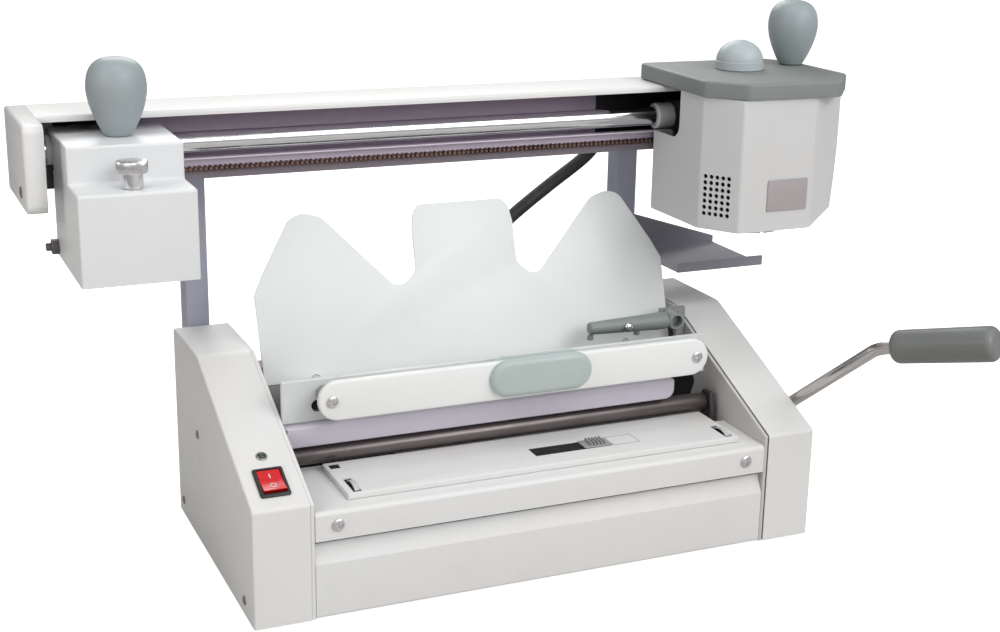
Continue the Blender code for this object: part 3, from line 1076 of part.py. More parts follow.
def carriageway():
    """Posts, beam, shaft, chain and the pieces fixed to them."""
    post_back = BASE_DEPTH + SEAM + POST_DEPTH
    for name, x in (("left_post", LEFT_POST_X), ("right_post", RIGHT_POST_X)):
        post = box(name, (x, BASE_DEPTH + SEAM, POST_BOTTOM), (x + POST_WIDTH, post_back, POST_TOP))
        middle = x + POST_WIDTH / 2
        combine(post,
                box("post_slit",
                    (middle - POST_SLIT_WIDTH / 2, BASE_DEPTH + SEAM - OVERRUN, POST_BOTTOM - OVERRUN),
                          (middle + POST_SLIT_WIDTH / 2, post_back + OVERRUN,
                           POST_BOTTOM + POST_SLIT_LENGTH)))
        combine(post, box("beam_bracket", (x, BEAM_BACK + SEAM, BRACKET_BOTTOM),
                          (x + POST_WIDTH, BASE_DEPTH + OVERRUN, BRACKET_TOP)), "UNION")
        finish(post, machine, "blue paint")

    wall = SHEET / 2
    path = [(BEAM_FLOOR_FRONT + wall, BEAM_BOTTOM + BEAM_FLOOR_LIP),
            (BEAM_FLOOR_FRONT + wall, BEAM_BOTTOM + wall),
            (BEAM_BACK - wall, BEAM_BOTTOM + wall), (BEAM_BACK - wall, BEAM_TOP - wall),
            (BEAM_TOP_FRONT + wall, BEAM_TOP - wall), (BEAM_TOP_FRONT + wall, BEAM_TOP - BEAM_TOP_LIP)]
    finish(folded("beam", path, SHEET, BEAM_LEFT, BEAM_RIGHT), machine, "painted sheet")
    cap_right = BEAM_LEFT - SEAM
    corner = CAP_CORNER
    outline = arc((CAP_FRONT + corner, CAP_BOTTOM + corner), corner, 270, 180, 4)
    outline += arc((CAP_FRONT + corner, CAP_TOP - corner), corner, 180, 90, 4)
    outline += [(CAP_BACK, CAP_TOP), (CAP_BACK, CAP_BOTTOM)]
    cap = prism_shell("beam_left_cap", outline, "yz", cap_right - CAP_THICKNESS + PLATE / 2, cap_right, PLATE,
                      "start")
    drive_screws(cap, [(cap_right - CAP_THICKNESS, *CAP_SCREW)], (-1, 0, 0), SCREW_RADIUS, SCREW_HEIGHT)
    finish(cap, machine, "painted sheet")
    plate_front = BEAM_TOP_FRONT + SHEET
    end_outline = [(BEAM_FLOOR_FRONT + SEAM, BEAM_BOTTOM), (BEAM_BACK, BEAM_BOTTOM),
                   (BEAM_BACK, BEAM_TOP - SHEET),
                   (plate_front, BEAM_TOP - SHEET), (plate_front, END_PLATE_LEDGE),
                   (BEAM_FLOOR_FRONT + SEAM, END_PLATE_LEDGE)]
    end_plate = plate("beam_right_cap", end_outline, "yz", BEAM_RIGHT + SEAM, BEAM_RIGHT + SEAM + END_PLATE)
    finish(end_plate, machine, "painted sheet")
    shaft_left = cap_right - CAP_THICKNESS + PLATE + SEAM
    finish(rod("guide_shaft", (shaft_left, RAIL_DEPTH, RAIL_HEIGHT), (BEAM_RIGHT, RAIL_DEPTH, RAIL_HEIGHT),
               RAIL_RADIUS), machine, "chrome")
    ring_left = BEAM_LEFT + SPACER_RING_INSET
    profile = [(SPACER_RING_RADIUS, SPACER_RING_LENGTH), (SPACER_RING_RADIUS, 0), (RAIL_RADIUS + SEAM, 0),
               (RAIL_RADIUS + SEAM, SPACER_RING_LENGTH)]
    finish(turned("shaft_spacer", profile, (ring_left, RAIL_DEPTH, RAIL_HEIGHT), (1, 0, 0)), machine,
           "grey plastic")

    count = int((BEAM_RIGHT - BEAM_LEFT - SEAM) / CHAIN_PITCH)
    upper = []
    lower = []
    for link in range(count):
        left = BEAM_LEFT + link * CHAIN_PITCH
        upper += [(left, CHAIN_TOP - CHAIN_WAIST), (left + CHAIN_PITCH / 2, CHAIN_TOP)]
        lower += [(left, CHAIN_BOTTOM + CHAIN_WAIST), (left + CHAIN_PITCH / 2, CHAIN_BOTTOM)]
    chain = plate("roller_chain", lower + upper[::-1], "xz", CHAIN_FRONT, CHAIN_BACK)
    finish(chain, machine, "chain steel")
    strip = folded("chain_strip", [(STRIP_FRONT, STRIP_TOP - wall), (STRIP_LEG, STRIP_TOP - wall),
                                   (STRIP_LEG, BEAM_BOTTOM + SHEET + SEAM)], SHEET, BEAM_LEFT, BEAM_RIGHT)
    finish(strip, machine, "aluminium")

    flange_depth = BASE_DEPTH - PLATE / 2
    tray = folded("chip_tray",
                  [(TRAY_FRONT + PLATE / 2, TRAY_HEIGHT + TRAY_LIP), (TRAY_FRONT + PLATE / 2, TRAY_HEIGHT),
                                (flange_depth, TRAY_HEIGHT), (flange_depth, TRAY_FLANGE_LEFT_TOP)],
                  PLATE, TRAY_LEFT, TRAY_RIGHT)
    cut_outline = [(RIGHT_POST_X + POST_WIDTH, TRAY_FLANGE_LEFT_TOP), (TRAY_RIGHT, TRAY_FLANGE_RIGHT_TOP),
                   (TRAY_RIGHT + OVERRUN, TRAY_FLANGE_RIGHT_TOP), (TRAY_RIGHT + OVERRUN,
                                                                   TRAY_FLANGE_LEFT_TOP + OVERRUN),
                   (RIGHT_POST_X + POST_WIDTH, TRAY_FLANGE_LEFT_TOP + OVERRUN)]
    combine(tray, plate("flange_slope", cut_outline, "xz", TRAY_FRONT + TRAY_LIP, BASE_DEPTH + OVERRUN))
    post_side = RIGHT_POST_X + POST_WIDTH + SEAM
    ear = box("tray_ear", (post_side, BASE_DEPTH - PLATE, TRAY_HEIGHT),
              (post_side + PLATE, post_back - SEAM, TRAY_FLANGE_LEFT_TOP - OVERRUN))
    combine(tray, ear, "UNION")
    finish(tray, machine, "blue paint")

    start = Vector((CONDUIT_ROUTE[0].x, CONDUIT_ROUTE[0].y, DECK_TOP + SEAM))
    end = Vector((CONDUIT_ROUTE[-1].x, BEAM_BACK + SEAM, CONDUIT_ROUTE[-1].z))
    line = [start, *smooth_line(CONDUIT_ROUTE, 2), end]
    finish(tube("conduit", line, CONDUIT_RADIUS), machine, "black plastic")
    bore = CONDUIT_RADIUS + SLIDE_GAP
    profile = [(GLAND_RADIUS, GLAND_LENGTH), (GLAND_RADIUS, 0), (bore, 0), (bore, GLAND_LENGTH)]
    finish(turned("lower_gland", profile, line[0], (0, 0, 1), SMALL_SIDES), machine, "black plastic")
    finish(turned("upper_gland", profile, line[-1], (0, 1, 0), SMALL_SIDES), machine, "black plastic")


def knob(name, centre, base_height, height):
    profile = [(across * KNOB_RADIUS, up * height) for across, up in KNOB_SHARES]
    return turned(name, profile, (*centre, base_height + SEAM))


def glue_group():
    """Carriage with the tank, the roller and the sprocket that the chain turns."""
    wall = SHEET / 2
    outline = [(GLUE_FRONT + wall, GLUE_BOTTOM), (GLUE_FRONT + wall, GLUE_STEP - wall),
               (GLUE_STEP_DEPTH + wall, GLUE_STEP - wall), (GLUE_STEP_DEPTH + wall, GLUE_TOP - wall),
               (GLUE_TOP_BACK - wall, GLUE_TOP - wall), (GLUE_TOP_BACK - wall, GLUE_STEP),
               (GLUE_BACK - wall, GLUE_STEP), (GLUE_BACK - wall, GLUE_BOTTOM), None]
    cover = prism_shell("glue_cover", outline, "yz", GLUE_LEFT + wall, GLUE_RIGHT - wall, SHEET, "start end")
    notch = box("shaft_notch", (GLUE_LEFT - OVERRUN, RAIL_DEPTH - SHAFT_NOTCH_HALF, GLUE_STEP - OVERRUN),
                (GLUE_RIGHT + OVERRUN, RAIL_DEPTH + SHAFT_NOTCH_HALF,
                 RAIL_HEIGHT + SPACER_RING_RADIUS + SLIDE_GAP))
    combine(cover, notch)
    combine(cover, rod("roller_passage", (glue_middle, TANK_BACK + SHEET, ROLLER_HEIGHT),
                       (glue_middle, GLUE_BACK + OVERRUN, ROLLER_HEIGHT), ROLLER_SHAFT_RADIUS + SLIDE_GAP))
    combine(cover,
            rod("thumb_passage", (THUMB_X, THUMB_DEPTH, GLUE_STEP - OVERRUN),
                (THUMB_X, THUMB_DEPTH, GLUE_STEP + OVERRUN),
                       THUMB_SHANK_RADIUS + SLIDE_GAP))
    finish(cover, machine, "painted sheet")

    left, right = GLUE_LEFT + BEARING_INSET, GLUE_RIGHT - BEARING_INSET
    bearing = box("glue_bearing", (left, RAIL_DEPTH - BEARING_HALF, BEARING_LOW),
                  (right, RAIL_DEPTH + BEARING_HALF, BEARING_HIGH))
    combine(bearing, rod("glue_bearing_bore", (left - OVERRUN, RAIL_DEPTH, RAIL_HEIGHT),
                         (right + OVERRUN, RAIL_DEPTH, RAIL_HEIGHT), RAIL_RADIUS + SLIDE_GAP))
    hanger_back = RAIL_DEPTH - BEARING_HALF + OVERRUN
    hanger = box("tank_hanger", (left, hanger_back - CARRIER_THICKNESS, TANK_TOP + SEAM),
                 (right, hanger_back, BEARING_HIGH - SLIDE_GAP))
    foot = box("tank_hanger_foot", (left, TANK_FRONT, TANK_TOP + SEAM),
               (right, hanger_back - CARRIER_THICKNESS / 2, TANK_TOP + SEAM + CARRIER_THICKNESS))
    combine(bearing, hanger, "UNION")
    finish(combine(bearing, foot, "UNION"), machine, "aluminium")

    tank_left, tank_right = GLUE_LEFT + TANK_GAP, GLUE_RIGHT - TANK_GAP
    inner = TANK_WALL
    tank = box("glue_tank", (tank_left, TANK_FRONT, TANK_BOTTOM), (tank_right, TANK_BACK, TANK_TOP))
    combine(tank, box("tank_hollow", (tank_left + inner, TANK_FRONT + inner, TANK_BOTTOM + inner),
                      (tank_right - inner, TANK_BACK - inner, TANK_TOP + OVERRUN)))
    roller_front, roller_back = TANK_FRONT + inner + ROLLER_END_GAP, TANK_BACK - inner - ROLLER_END_GAP
    combine(tank, rod("roller_room", (glue_middle, roller_front - ROLLER_CLEARANCE, ROLLER_HEIGHT),
                      (glue_middle, roller_back + ROLLER_CLEARANCE,
                       ROLLER_HEIGHT), ROLLER_RADIUS + ROLLER_CLEARANCE))
    combine(tank, rod("axle_room", (glue_middle, TANK_FRONT - OVERRUN, ROLLER_HEIGHT),
                      (glue_middle, TANK_BACK + OVERRUN, ROLLER_HEIGHT), ROLLER_SHAFT_RADIUS + SLIDE_GAP))
    heater = box("tank_heater",
                 (tank_right - inner / 2, TANK_FRONT + HEATER_INSET, TANK_BOTTOM + HEATER_INSET),
                 (tank_right + HEATER_THICKNESS, TANK_BACK - HEATER_INSET, TANK_TOP - HEATER_INSET))
    finish(combine(tank, heater, "UNION"), machine, "aluminium")
    finish(knob("glue_knob", GLUE_KNOB, GLUE_TOP, GLUE_KNOB_HEIGHT), machine, "grey plastic")
    stud_start = (GLUE_LEFT - SEAM, *STUD_PLACE)
    profile = [(0, STUD_NUT_HEIGHT + STUD_TIP), (STUD_RADIUS, STUD_NUT_HEIGHT + STUD_TIP),
               (STUD_RADIUS, STUD_NUT_HEIGHT),
               (STUD_NUT_RADIUS, STUD_NUT_HEIGHT), (STUD_NUT_RADIUS, 0), (0, 0)]
    finish(turned("side_stud", profile, stud_start, (-1, 0, 0), 6), machine, "steel")

    drum = rod("glue_roller", (glue_middle, roller_front, ROLLER_HEIGHT),
               (glue_middle, roller_back, ROLLER_HEIGHT),
               ROLLER_RADIUS)
    combine(drum, rod("roller_axle", (glue_middle, TANK_FRONT - SEAM, ROLLER_HEIGHT),
                      (glue_middle, SPROCKET_FRONT - SEAM, ROLLER_HEIGHT), ROLLER_SHAFT_RADIUS), "UNION")
    finish(drum, machine, "steel")
    teeth = []
    for step in range(SPROCKET_TEETH * 2):
        reach = SPROCKET_OUTER if step % 2 else SPROCKET_ROOT
        angle = math.pi * step / SPROCKET_TEETH
        teeth.append((glue_middle + reach * math.cos(angle), ROLLER_HEIGHT + reach * math.sin(angle)))
    finish(plate("sprocket", teeth, "xz", SPROCKET_FRONT, SPROCKET_FRONT + SPROCKET_THICKNESS), machine,
           "steel")

    neck_top = THUMB_NECK_HEIGHT
    head_top = neck_top + THUMB_HEAD_HEIGHT
    profile = [(0, head_top), (THUMB_HEAD_RADIUS * 0.9, head_top), (THUMB_HEAD_RADIUS, head_top - EDGE_ROUND),
               (THUMB_HEAD_RADIUS, neck_top), (THUMB_NECK_RADIUS, neck_top), (THUMB_NECK_RADIUS, 0),
               (THUMB_SHANK_RADIUS, 0), (THUMB_SHANK_RADIUS, -THUMB_SHANK_LENGTH), (0, -THUMB_SHANK_LENGTH)]
    finish(turned("thumb_screw", profile, (THUMB_X, THUMB_DEPTH, GLUE_STEP + SEAM)), machine, "grey plastic")


def head_group():
    """Milling head with its motor and cutter."""
    wall = SHEET / 2
    outline = [(HEAD_LEFT + wall, HEAD_CHAMFER_DEPTH), (HEAD_CHAMFER_LEFT, HEAD_FRONT + wall),
               (HEAD_CHAMFER_RIGHT, HEAD_FRONT + wall), (HEAD_RIGHT - wall, HEAD_CHAMFER_DEPTH),
               (HEAD_BACK_RIGHT - wall, HEAD_BACK - wall), (HEAD_LEFT + wall, HEAD_BACK - wall)]
    cover = prism_shell("head_cover", outline, "xy", HEAD_BOTTOM, HEAD_TOP, SHEET, "")
    combine(cover, box("back_notch", (HEAD_LEFT - OVERRUN, HEAD_NOTCH_DEPTH, HEAD_NOTCH_HEIGHT),
                       (HEAD_RIGHT + OVERRUN, HEAD_BACK + OVERRUN, HEAD_TOP + OVERRUN)))
    corner = [(HEAD_CUT_START, HEAD_BOTTOM),
              ((HEAD_CUT_START + HEAD_RIGHT) / 2, (HEAD_BOTTOM * 2 + HEAD_CUT_HEIGHT) / 3),
              (HEAD_RIGHT + OVERRUN, HEAD_CUT_HEIGHT + OVERRUN), (HEAD_RIGHT + OVERRUN,
                                                                  HEAD_BOTTOM - OVERRUN),
              (HEAD_CUT_START, HEAD_BOTTOM - OVERRUN)]
    combine(cover,
            plate("lower_corner", corner, "xz", HEAD_FRONT - OVERRUN,
                  HEAD_CHAMFER_DEPTH + HEAD_CUT_START - HEAD_CHAMFER_LEFT))
    face_start = Vector((HEAD_LEFT, HEAD_CHAMFER_DEPTH, 0))
    face_end = Vector((HEAD_CHAMFER_LEFT, HEAD_FRONT, 0))
    along = (face_end - face_start).normalized()
    outward = Vector((along.y, -along.x, 0))
    middle = (face_start + face_end) / 2
    vents = []
    for row in range(VENT_ROWS):
        for column in range(VENT_COLUMNS):
            place = middle + along * ((column - (VENT_COLUMNS - 1) / 2) * VENT_PITCH - VENT_SHIFT)
            place.z = VENT_BOTTOM + row * VENT_ROW_PITCH
            vents.append(rod("vent", place - outward * OVERRUN * 2, place + outward * OVERRUN, VENT_RADIUS,
                             6))
    combine(cover, gather("vents", vents))
    finish(cover, machine, "painted sheet")
    finish(bevel(plate("head_lid", LID_OUTLINE, "xy", HEAD_TOP + SEAM, LID_TOP), LID_ROUND), machine,
           "grey plastic")
    profile = [(across * DOME_RADIUS, up * DOME_HEIGHT) for across, up in DOME_SHARES]
    finish(turned("motor_cap", profile, (*DOME_CENTRE, LID_TOP + SEAM)), machine, "grey plastic")
    finish(knob("head_knob", HEAD_KNOB, LID_TOP, HEAD_KNOB_HEIGHT), machine, "grey plastic")
    finish(box("label_plate", (LABEL_LEFT, HEAD_FRONT - SEAM - LABEL_THICKNESS, LABEL_BOTTOM),
               (LABEL_RIGHT, HEAD_FRONT - SEAM, LABEL_TOP)), machine, "aluminium")

    motor = rod("milling_motor", (*MOTOR_CENTRE, MOTOR_BOTTOM), (*MOTOR_CENTRE, MOTOR_TOP), MOTOR_RADIUS)
    combine(motor,
            rod("arbor_room", (*MOTOR_CENTRE, MOTOR_BOTTOM - OVERRUN),
                (*MOTOR_CENTRE, MOTOR_BOTTOM + MOTOR_BORE_DEPTH),
                       ARBOR_RADIUS + ARBOR_GAP))
    finish(motor, machine, "steel")
    shelf_top = MOTOR_BOTTOM - SEAM
    shelf_back = HEAD_BACK - SHEET - SEAM
    shelf = plate("motor_shelf",
                  [(HEAD_LEFT + SHEET + SEAM, HEAD_CHAMFER_DEPTH + SHEET),
                   (HEAD_CUT_START, HEAD_CHAMFER_DEPTH - SHEET),
                                  (HEAD_CUT_START, shelf_back), (HEAD_LEFT + SHEET + SEAM, shelf_back)],
                  "xy", shelf_top - MOTOR_SHELF, shelf_top, [circle(MOTOR_CENTRE, ARBOR_RADIUS + ARBOR_GAP,
                                                                    ROUND_SIDES)])
    bearing_bottom = BEARING_LOW
    riser = box("shelf_riser",
                (HEAD_BEARING_LEFT, shelf_back - CARRIER_THICKNESS, shelf_top - MOTOR_SHELF / 2),
                (HEAD_CUT_START - OVERRUN, shelf_back, bearing_bottom + OVERRUN))
    bearing = box("head_bearing", (HEAD_BEARING_LEFT, RAIL_DEPTH - BEARING_HALF, bearing_bottom),
                  (HEAD_BEARING_RIGHT, RAIL_DEPTH + BEARING_HALF, RAIL_HEIGHT + BEARING_HALF))
    combine(bearing, riser, "UNION")
    combine(bearing, shelf, "UNION")
    combine(bearing, rod("head_ring", (HEAD_RING_LEFT, RAIL_DEPTH, RAIL_HEIGHT),
                         (HEAD_BEARING_LEFT + OVERRUN, RAIL_DEPTH, RAIL_HEIGHT), HEAD_RING_RADIUS), "UNION")
    combine(bearing, rod("head_bearing_bore", (HEAD_RING_LEFT - OVERRUN, RAIL_DEPTH, RAIL_HEIGHT),
                         (HEAD_BEARING_RIGHT + OVERRUN, RAIL_DEPTH, RAIL_HEIGHT), RAIL_RADIUS + SLIDE_GAP))
    finish(bearing, machine, "aluminium")

    rim = []
    for tooth in range(CUTTER_TEETH):
        start = 360 * tooth / CUTTER_TEETH
        rim += arc(MOTOR_CENTRE, CUTTER_RADIUS, start, start + 270 / CUTTER_TEETH, 1)
        rim += arc(MOTOR_CENTRE, CUTTER_RADIUS - CUTTER_NOTCH, start + 290 / CUTTER_TEETH,
                   start + 350 / CUTTER_TEETH, 1)
    disc = plate("cutter_disc", rim, "xy", CUTTER_BOTTOM, CUTTER_BOTTOM + CUTTER_THICKNESS)
    combine(disc, rod("cutter_arbor", (*MOTOR_CENTRE, CUTTER_BOTTOM + CUTTER_THICKNESS / 2),
                      (*MOTOR_CENTRE, MOTOR_BOTTOM + MOTOR_BORE_DEPTH - SEAM * 2), ARBOR_RADIUS), "UNION")
    finish(disc, machine, "steel")


def centre_on_floor():
    """Shift the machine so that the middle of its floor print is the origin."""
    bpy.context.view_layer.update()
    graph = bpy.context.evaluated_depsgraph_get()
    places = []
    for piece in parts.objects:
        if piece.type != "MESH":
            continue
        shown = piece.evaluated_get(graph)
        mesh = shown.to_mesh()
        places += [shown.matrix_world @ vertex.co for vertex in mesh.vertices]
        shown.to_mesh_clear()
    for axis in (0, 1):
        values = [place[axis] for place in places]
        machine.location[axis] = -(min(values) + max(values)) / 2
    print("machine origin", tuple(round(value, 7) for value in machine.location))


base()
switch_group()
table_group()
press_frame()
clamp_group()
back_group()
gauge_group()
carriageway()
glue_group()
head_group()
centre_on_floor()
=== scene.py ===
import math

import bpy
import numpy as np
from mathutils import Matrix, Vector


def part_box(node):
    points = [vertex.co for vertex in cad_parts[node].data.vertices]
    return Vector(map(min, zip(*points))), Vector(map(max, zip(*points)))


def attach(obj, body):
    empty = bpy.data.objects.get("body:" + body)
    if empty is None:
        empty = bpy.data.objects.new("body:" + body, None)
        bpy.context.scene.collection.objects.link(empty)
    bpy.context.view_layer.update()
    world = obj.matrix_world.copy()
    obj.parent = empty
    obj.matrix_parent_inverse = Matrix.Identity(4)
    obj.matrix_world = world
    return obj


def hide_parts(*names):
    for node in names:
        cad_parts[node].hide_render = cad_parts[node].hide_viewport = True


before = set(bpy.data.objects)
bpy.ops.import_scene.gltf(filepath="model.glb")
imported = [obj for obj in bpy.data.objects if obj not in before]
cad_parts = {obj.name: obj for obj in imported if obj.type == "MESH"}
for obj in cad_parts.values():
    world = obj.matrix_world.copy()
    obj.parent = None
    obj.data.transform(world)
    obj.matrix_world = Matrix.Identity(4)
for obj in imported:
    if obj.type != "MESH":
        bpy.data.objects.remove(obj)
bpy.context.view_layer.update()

# Places and lengths are counted in millimetres from the left housing's front corner on the
# floor, where the left frame plate starts at FRAME_PLATE_CORNER. The function metres() takes
# them to the shared frame.
MM = 0.001
FRAME_PLATE_CORNER = (43.3, 0.5)
FRAME_ORIGIN = np.array(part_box("left_frame_plate")[0]) / MM * (1, 1, 0) - (*FRAME_PLATE_CORNER, 0)
X, Y, Z = np.eye(3)
HAIR = 0.15  # gap between touching pieces and edge of thin sheet
FILM = 0.05  # edge of the dark films: the dark joint and the sheets of painted shade


def box(node):
    """Lowest and highest corner of a CAD node."""
    return [np.array(corner) / MM - FRAME_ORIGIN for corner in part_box(node)]


def middle(node):
    low, high = box(node)
    return (low + high) / 2


def metres(points):
    return (np.asarray(points, float).reshape(-1, 3) + FRAME_ORIGIN) * MM


# Shapes

def new_object(name, points, faces):
    """An object at the origin from points in metres."""
    mesh = bpy.data.meshes.new(name)
    mesh.from_pydata(points.tolist(), [], faces)
    mesh.update()
    thing = bpy.data.objects.new(name, mesh)
    bpy.context.scene.collection.objects.link(thing)
    return thing


def shade_round(mesh, sharp=35):
    mesh.shade_smooth()
    mesh.set_sharp_from_angle(angle=math.radians(sharp))


def add_piece(name, points, faces, finish, body="frame", replaces=None, smooth=True, sharp=35):
    """Put a finished grid into the scene, riding on its body."""
    piece = new_object(name, metres(points), faces)
    if smooth:
        shade_round(piece.data, sharp)
    piece.data.materials.append(finish)
    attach(piece, body)
    if replaces:
        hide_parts(replaces)
    return piece


def grid_faces(rows, columns, wrap=True, start=0):
    """Four-sided faces between the rows of a grid, closed round its columns if wrap is set."""
    row = np.arange(rows - 1)[:, None]
    column = np.arange(columns if wrap else columns - 1)[None, :]
    after = (column + 1) % columns
    quads = np.stack([row * columns + column, row * columns + after,
                      (row + 1) * columns + after, (row + 1) * columns + column], -1)
    return (quads.reshape(-1, 4) + start).tolist()


def flipped(faces):
    return [face[::-1] for face in faces]


def end_caps(rows, columns, start=0):
    """The first row's face, turned round, and the last row's."""
    first = list(range(start, start + columns))
    return [first[::-1], [index + (rows - 1) * columns for index in first]]


def loop_faces(rows, columns):
    """Faces from a grid's last row back to its first."""
    last = (rows - 1) * columns
    return [[last + i, last + (i + 1) % columns, (i + 1) % columns, i] for i in range(columns)]


def axis_frame(direction):
    """Three unit vectors, the last along the direction."""
    along = np.array(direction, float)
    along /= np.linalg.norm(along)
    side = np.cross(along, Z if abs(along[2]) < 0.9 else Y)
    side /= np.linalg.norm(side)
    return side, np.cross(along, side), along


def circle(sides):
    """Cosine and sine of evenly spread angles, as a column of pairs."""
    angle = np.linspace(0, 2 * math.pi, sides, endpoint=False)
    return np.stack([np.cos(angle), np.sin(angle)], -1)


def turned(name, profile, base, direction, finish, body="frame", replaces=None, sides=64,
           waves=0, depth=0.0, sharp=30, ring=False):
    """A lathe surface: the point at angle a is base + height times the axis + radius times the
    circle (cos a, sin a). A wave count and depth flute the radius, as on a knurled rim. The
    profile of (radius, height) runs from the bottom to the top on the outside. Both ends close on
    a flat cap, or with ring set the profile is a closed loop off the axis, such as a collar.
    """
    profile = np.asarray(profile, float)
    side, other, along = axis_frame(direction)
    turn = circle(sides)
    flute = 1 + depth * np.cos(np.linspace(0, 2 * math.pi, sides, endpoint=False) * waves)
    rim = (turn @ np.array([side, other])) * flute[:, None]
    points = np.asarray(base) + profile[:, 1, None, None] * along + profile[:, :1, None] * rim
    rows = len(profile)
    faces = grid_faces(rows, sides) + (loop_faces if ring else end_caps)(rows, sides)
    return add_piece(name, points, faces, finish, body, replaces, sharp=sharp)


def bar(radius, length, edge):
    """Profile of a straight bar with both rims broken."""
    return [(radius - edge, 0), (radius, edge), (radius, length - edge), (radius - edge, length)]


def smooth_path(points, steps):
    """A curve through every point, each stretch the cubic that leans on the points beside it."""
    points = np.asarray(points, float)
    ends = np.vstack([2 * points[0] - points[1], points, 2 * points[-1] - points[-2]])
    share = np.linspace(0, 1, steps, endpoint=False)[:, None]
    runs = []
    for before, start, end, after in zip(ends, ends[1:], ends[2:], ends[3:]):
        runs.append(0.5 * (2 * start + (end - before) * share
                           + (2 * before - 5 * start + 4 * end - after) * share ** 2
                           + (3 * start - before - 3 * end + after) * share ** 3))
    return np.vstack(runs + [points[-1:]])


def tube(name, path, radius, finish, body="frame", replaces=None, sides=32):
    """A round bar along a path: every ring lies square to the path, turned as little as possible
    from the ring before it.
    """
    path = np.asarray(path, float)
    tangent = np.gradient(path, axis=0)
    tangent /= np.linalg.norm(tangent, axis=1, keepdims=True)
    side = axis_frame(tangent[0])[0]
    across = []
    for step in tangent:
        side = side - step * side.dot(step)
        side /= np.linalg.norm(side)
        across.append(side)
    basis = np.stack([across, np.cross(tangent, across)], 1)
    points = path[:, None] + radius * (circle(sides) @ basis)
    rows = len(path)
    return add_piece(name, points, grid_faces(rows, sides) + end_caps(rows, sides), finish, body, replaces)


def fillet(points, radii, steps=5, closed=True):
    """The outline with each corner swung round an arc, held back where the sides are short."""
    points = np.asarray(points, float)
    count = len(points)
    radii = np.broadcast_to(np.asarray(radii, float), (count,))
    out = []
    for index, here in enumerate(points):
        if not closed and index in (0, count - 1) or radii[index] <= 0:
            out.append(here[None])
            continue
        back, on = points[index - 1] - here, points[(index + 1) % count] - here
        back_length, on_length = np.linalg.norm(back), np.linalg.norm(on)
        back, on = back / back_length, on / on_length
        half = math.acos(np.clip(back.dot(on), -1, 1)) / 2
        cut_back = min(radii[index] / max(math.tan(half), 1e-3), back_length * 0.49, on_length * 0.49)
        radius = cut_back * math.tan(half)
        centre = here + (back + on) / np.linalg.norm(back + on) * radius / math.sin(half)
        first, last = here + back * cut_back - centre, here + on * cut_back - centre
        start = math.atan2(first[1], first[0])
        turn = (math.atan2(last[1], last[0]) - start + math.pi) % (2 * math.pi) - math.pi
        angle = start + turn * np.linspace(0, 1, steps + 1)
        out.append(centre + radius * np.stack([np.cos(angle), np.sin(angle)], -1))
    return np.vstack(out)


def unit_rows(steps):
    return steps / np.maximum(np.linalg.norm(steps, axis=1, keepdims=True), 1e-12)


def inset(outline, distance, closed=True):
    """The outline moved inward by a distance, square to its own edges. It runs anticlockwise."""
    outline = np.asarray(outline, float)
    if closed:
        before, after = np.roll(outline, 1, 0), np.roll(outline, -1, 0)
    else:
        before = np.vstack([outline[:1] * 2 - outline[1:2], outline[:-1]])
        after = np.vstack([outline[1:], outline[-1:] * 2 - outline[-2:-1]])
    quarter_turn = np.array([[0, 1], [-1, 0]])
    normal_in = unit_rows(outline - before) @ quarter_turn
    normal_out = unit_rows(after - outline) @ quarter_turn
    move = normal_in + normal_out
    move /= np.maximum((move * normal_in).sum(1, keepdims=True), 0.3)
    return outline + move * distance


def winding(outline):
    """1 for an outline that runs anticlockwise, else -1."""
    x, y = np.asarray(outline, float).T
    return 1 if (x * np.roll(y, -1) - np.roll(x, -1) * y).sum() > 0 else -1


def anticlockwise(outline):
    return np.asarray(outline, float)[::winding(outline)]


def rectangle(left, low, right, high):
    """Its corners, anticlockwise."""
    return [(left, low), (right, low), (right, high), (left, high)]


LAYS = {"xy": (0, 1, 2), "xz": (0, 2, 1), "yz": (1, 2, 0)}


def lay(flat, plane, across):
    """Put (a, b) pairs on a plane and their third place across it."""
    flat = np.asarray(flat, float)
    out = np.empty((*flat.shape[:-1], 3))
    first, second, third = LAYS[plane]
    out[..., first], out[..., second], out[..., third] = flat[..., 0], flat[..., 1], across
    return out


def tilted(origin, angle):
    """Carries points made flat to a face through the origin that rises to the back at an angle."""
    rise = np.array([[1, 0, 0], [0, math.cos(angle), math.sin(angle)],
                     [0, -math.sin(angle), math.cos(angle)]])
    return lambda flat: np.asarray(flat, float) @ rise + origin


def rounded_rim(start, end, edge, far, steps):
    """Pairs of how far an outline is drawn in and its place from start to end: a quarter circle
    of the edge radius at the start and one of the far radius at the end.
    """
    way, quarter = 1 if end > start else -1, np.linspace(0, math.pi / 2, steps + 1)
    rim = [(edge * (1 - math.sin(q)), start + way * edge * (1 - math.cos(q))) for q in quarter]
    return rim + [(far * (1 - math.cos(q)), end - way * far * (1 - math.sin(q))) for q in quarter]


def slab(name, outline, plane, start, end, edge, finish, body="frame", replaces=None, steps=None,
         edge_end=None, put=None):
    """A thick flat shape: its outline is carried from start to end across the plane, drawn in
    along a quarter circle at both rims.
    """
    outline = anticlockwise(outline)
    steps = steps or (1 if edge <= HAIR else 3)
    rim = rounded_rim(start, end, edge, edge if edge_end is None else edge_end, steps)
    points = np.array([lay(inset(outline, drawn), plane, place) for drawn, place in rim])
    faces = grid_faces(len(rim), len(outline)) + end_caps(len(rim), len(outline))
    if plane == "xz":
        faces = flipped(faces)
    return add_piece(name, put(points) if put else points, faces, finish, body, replaces)


def sheet_outline(path, wall, radius, steps=5):
    """Outline of bent sheet: the filleted middle line moved by half the wall to both sides."""
    line = fillet(path, radius, steps, closed=False)
    return np.vstack([inset(line, wall / 2, closed=False), inset(line, -wall / 2, closed=False)[::-1]])


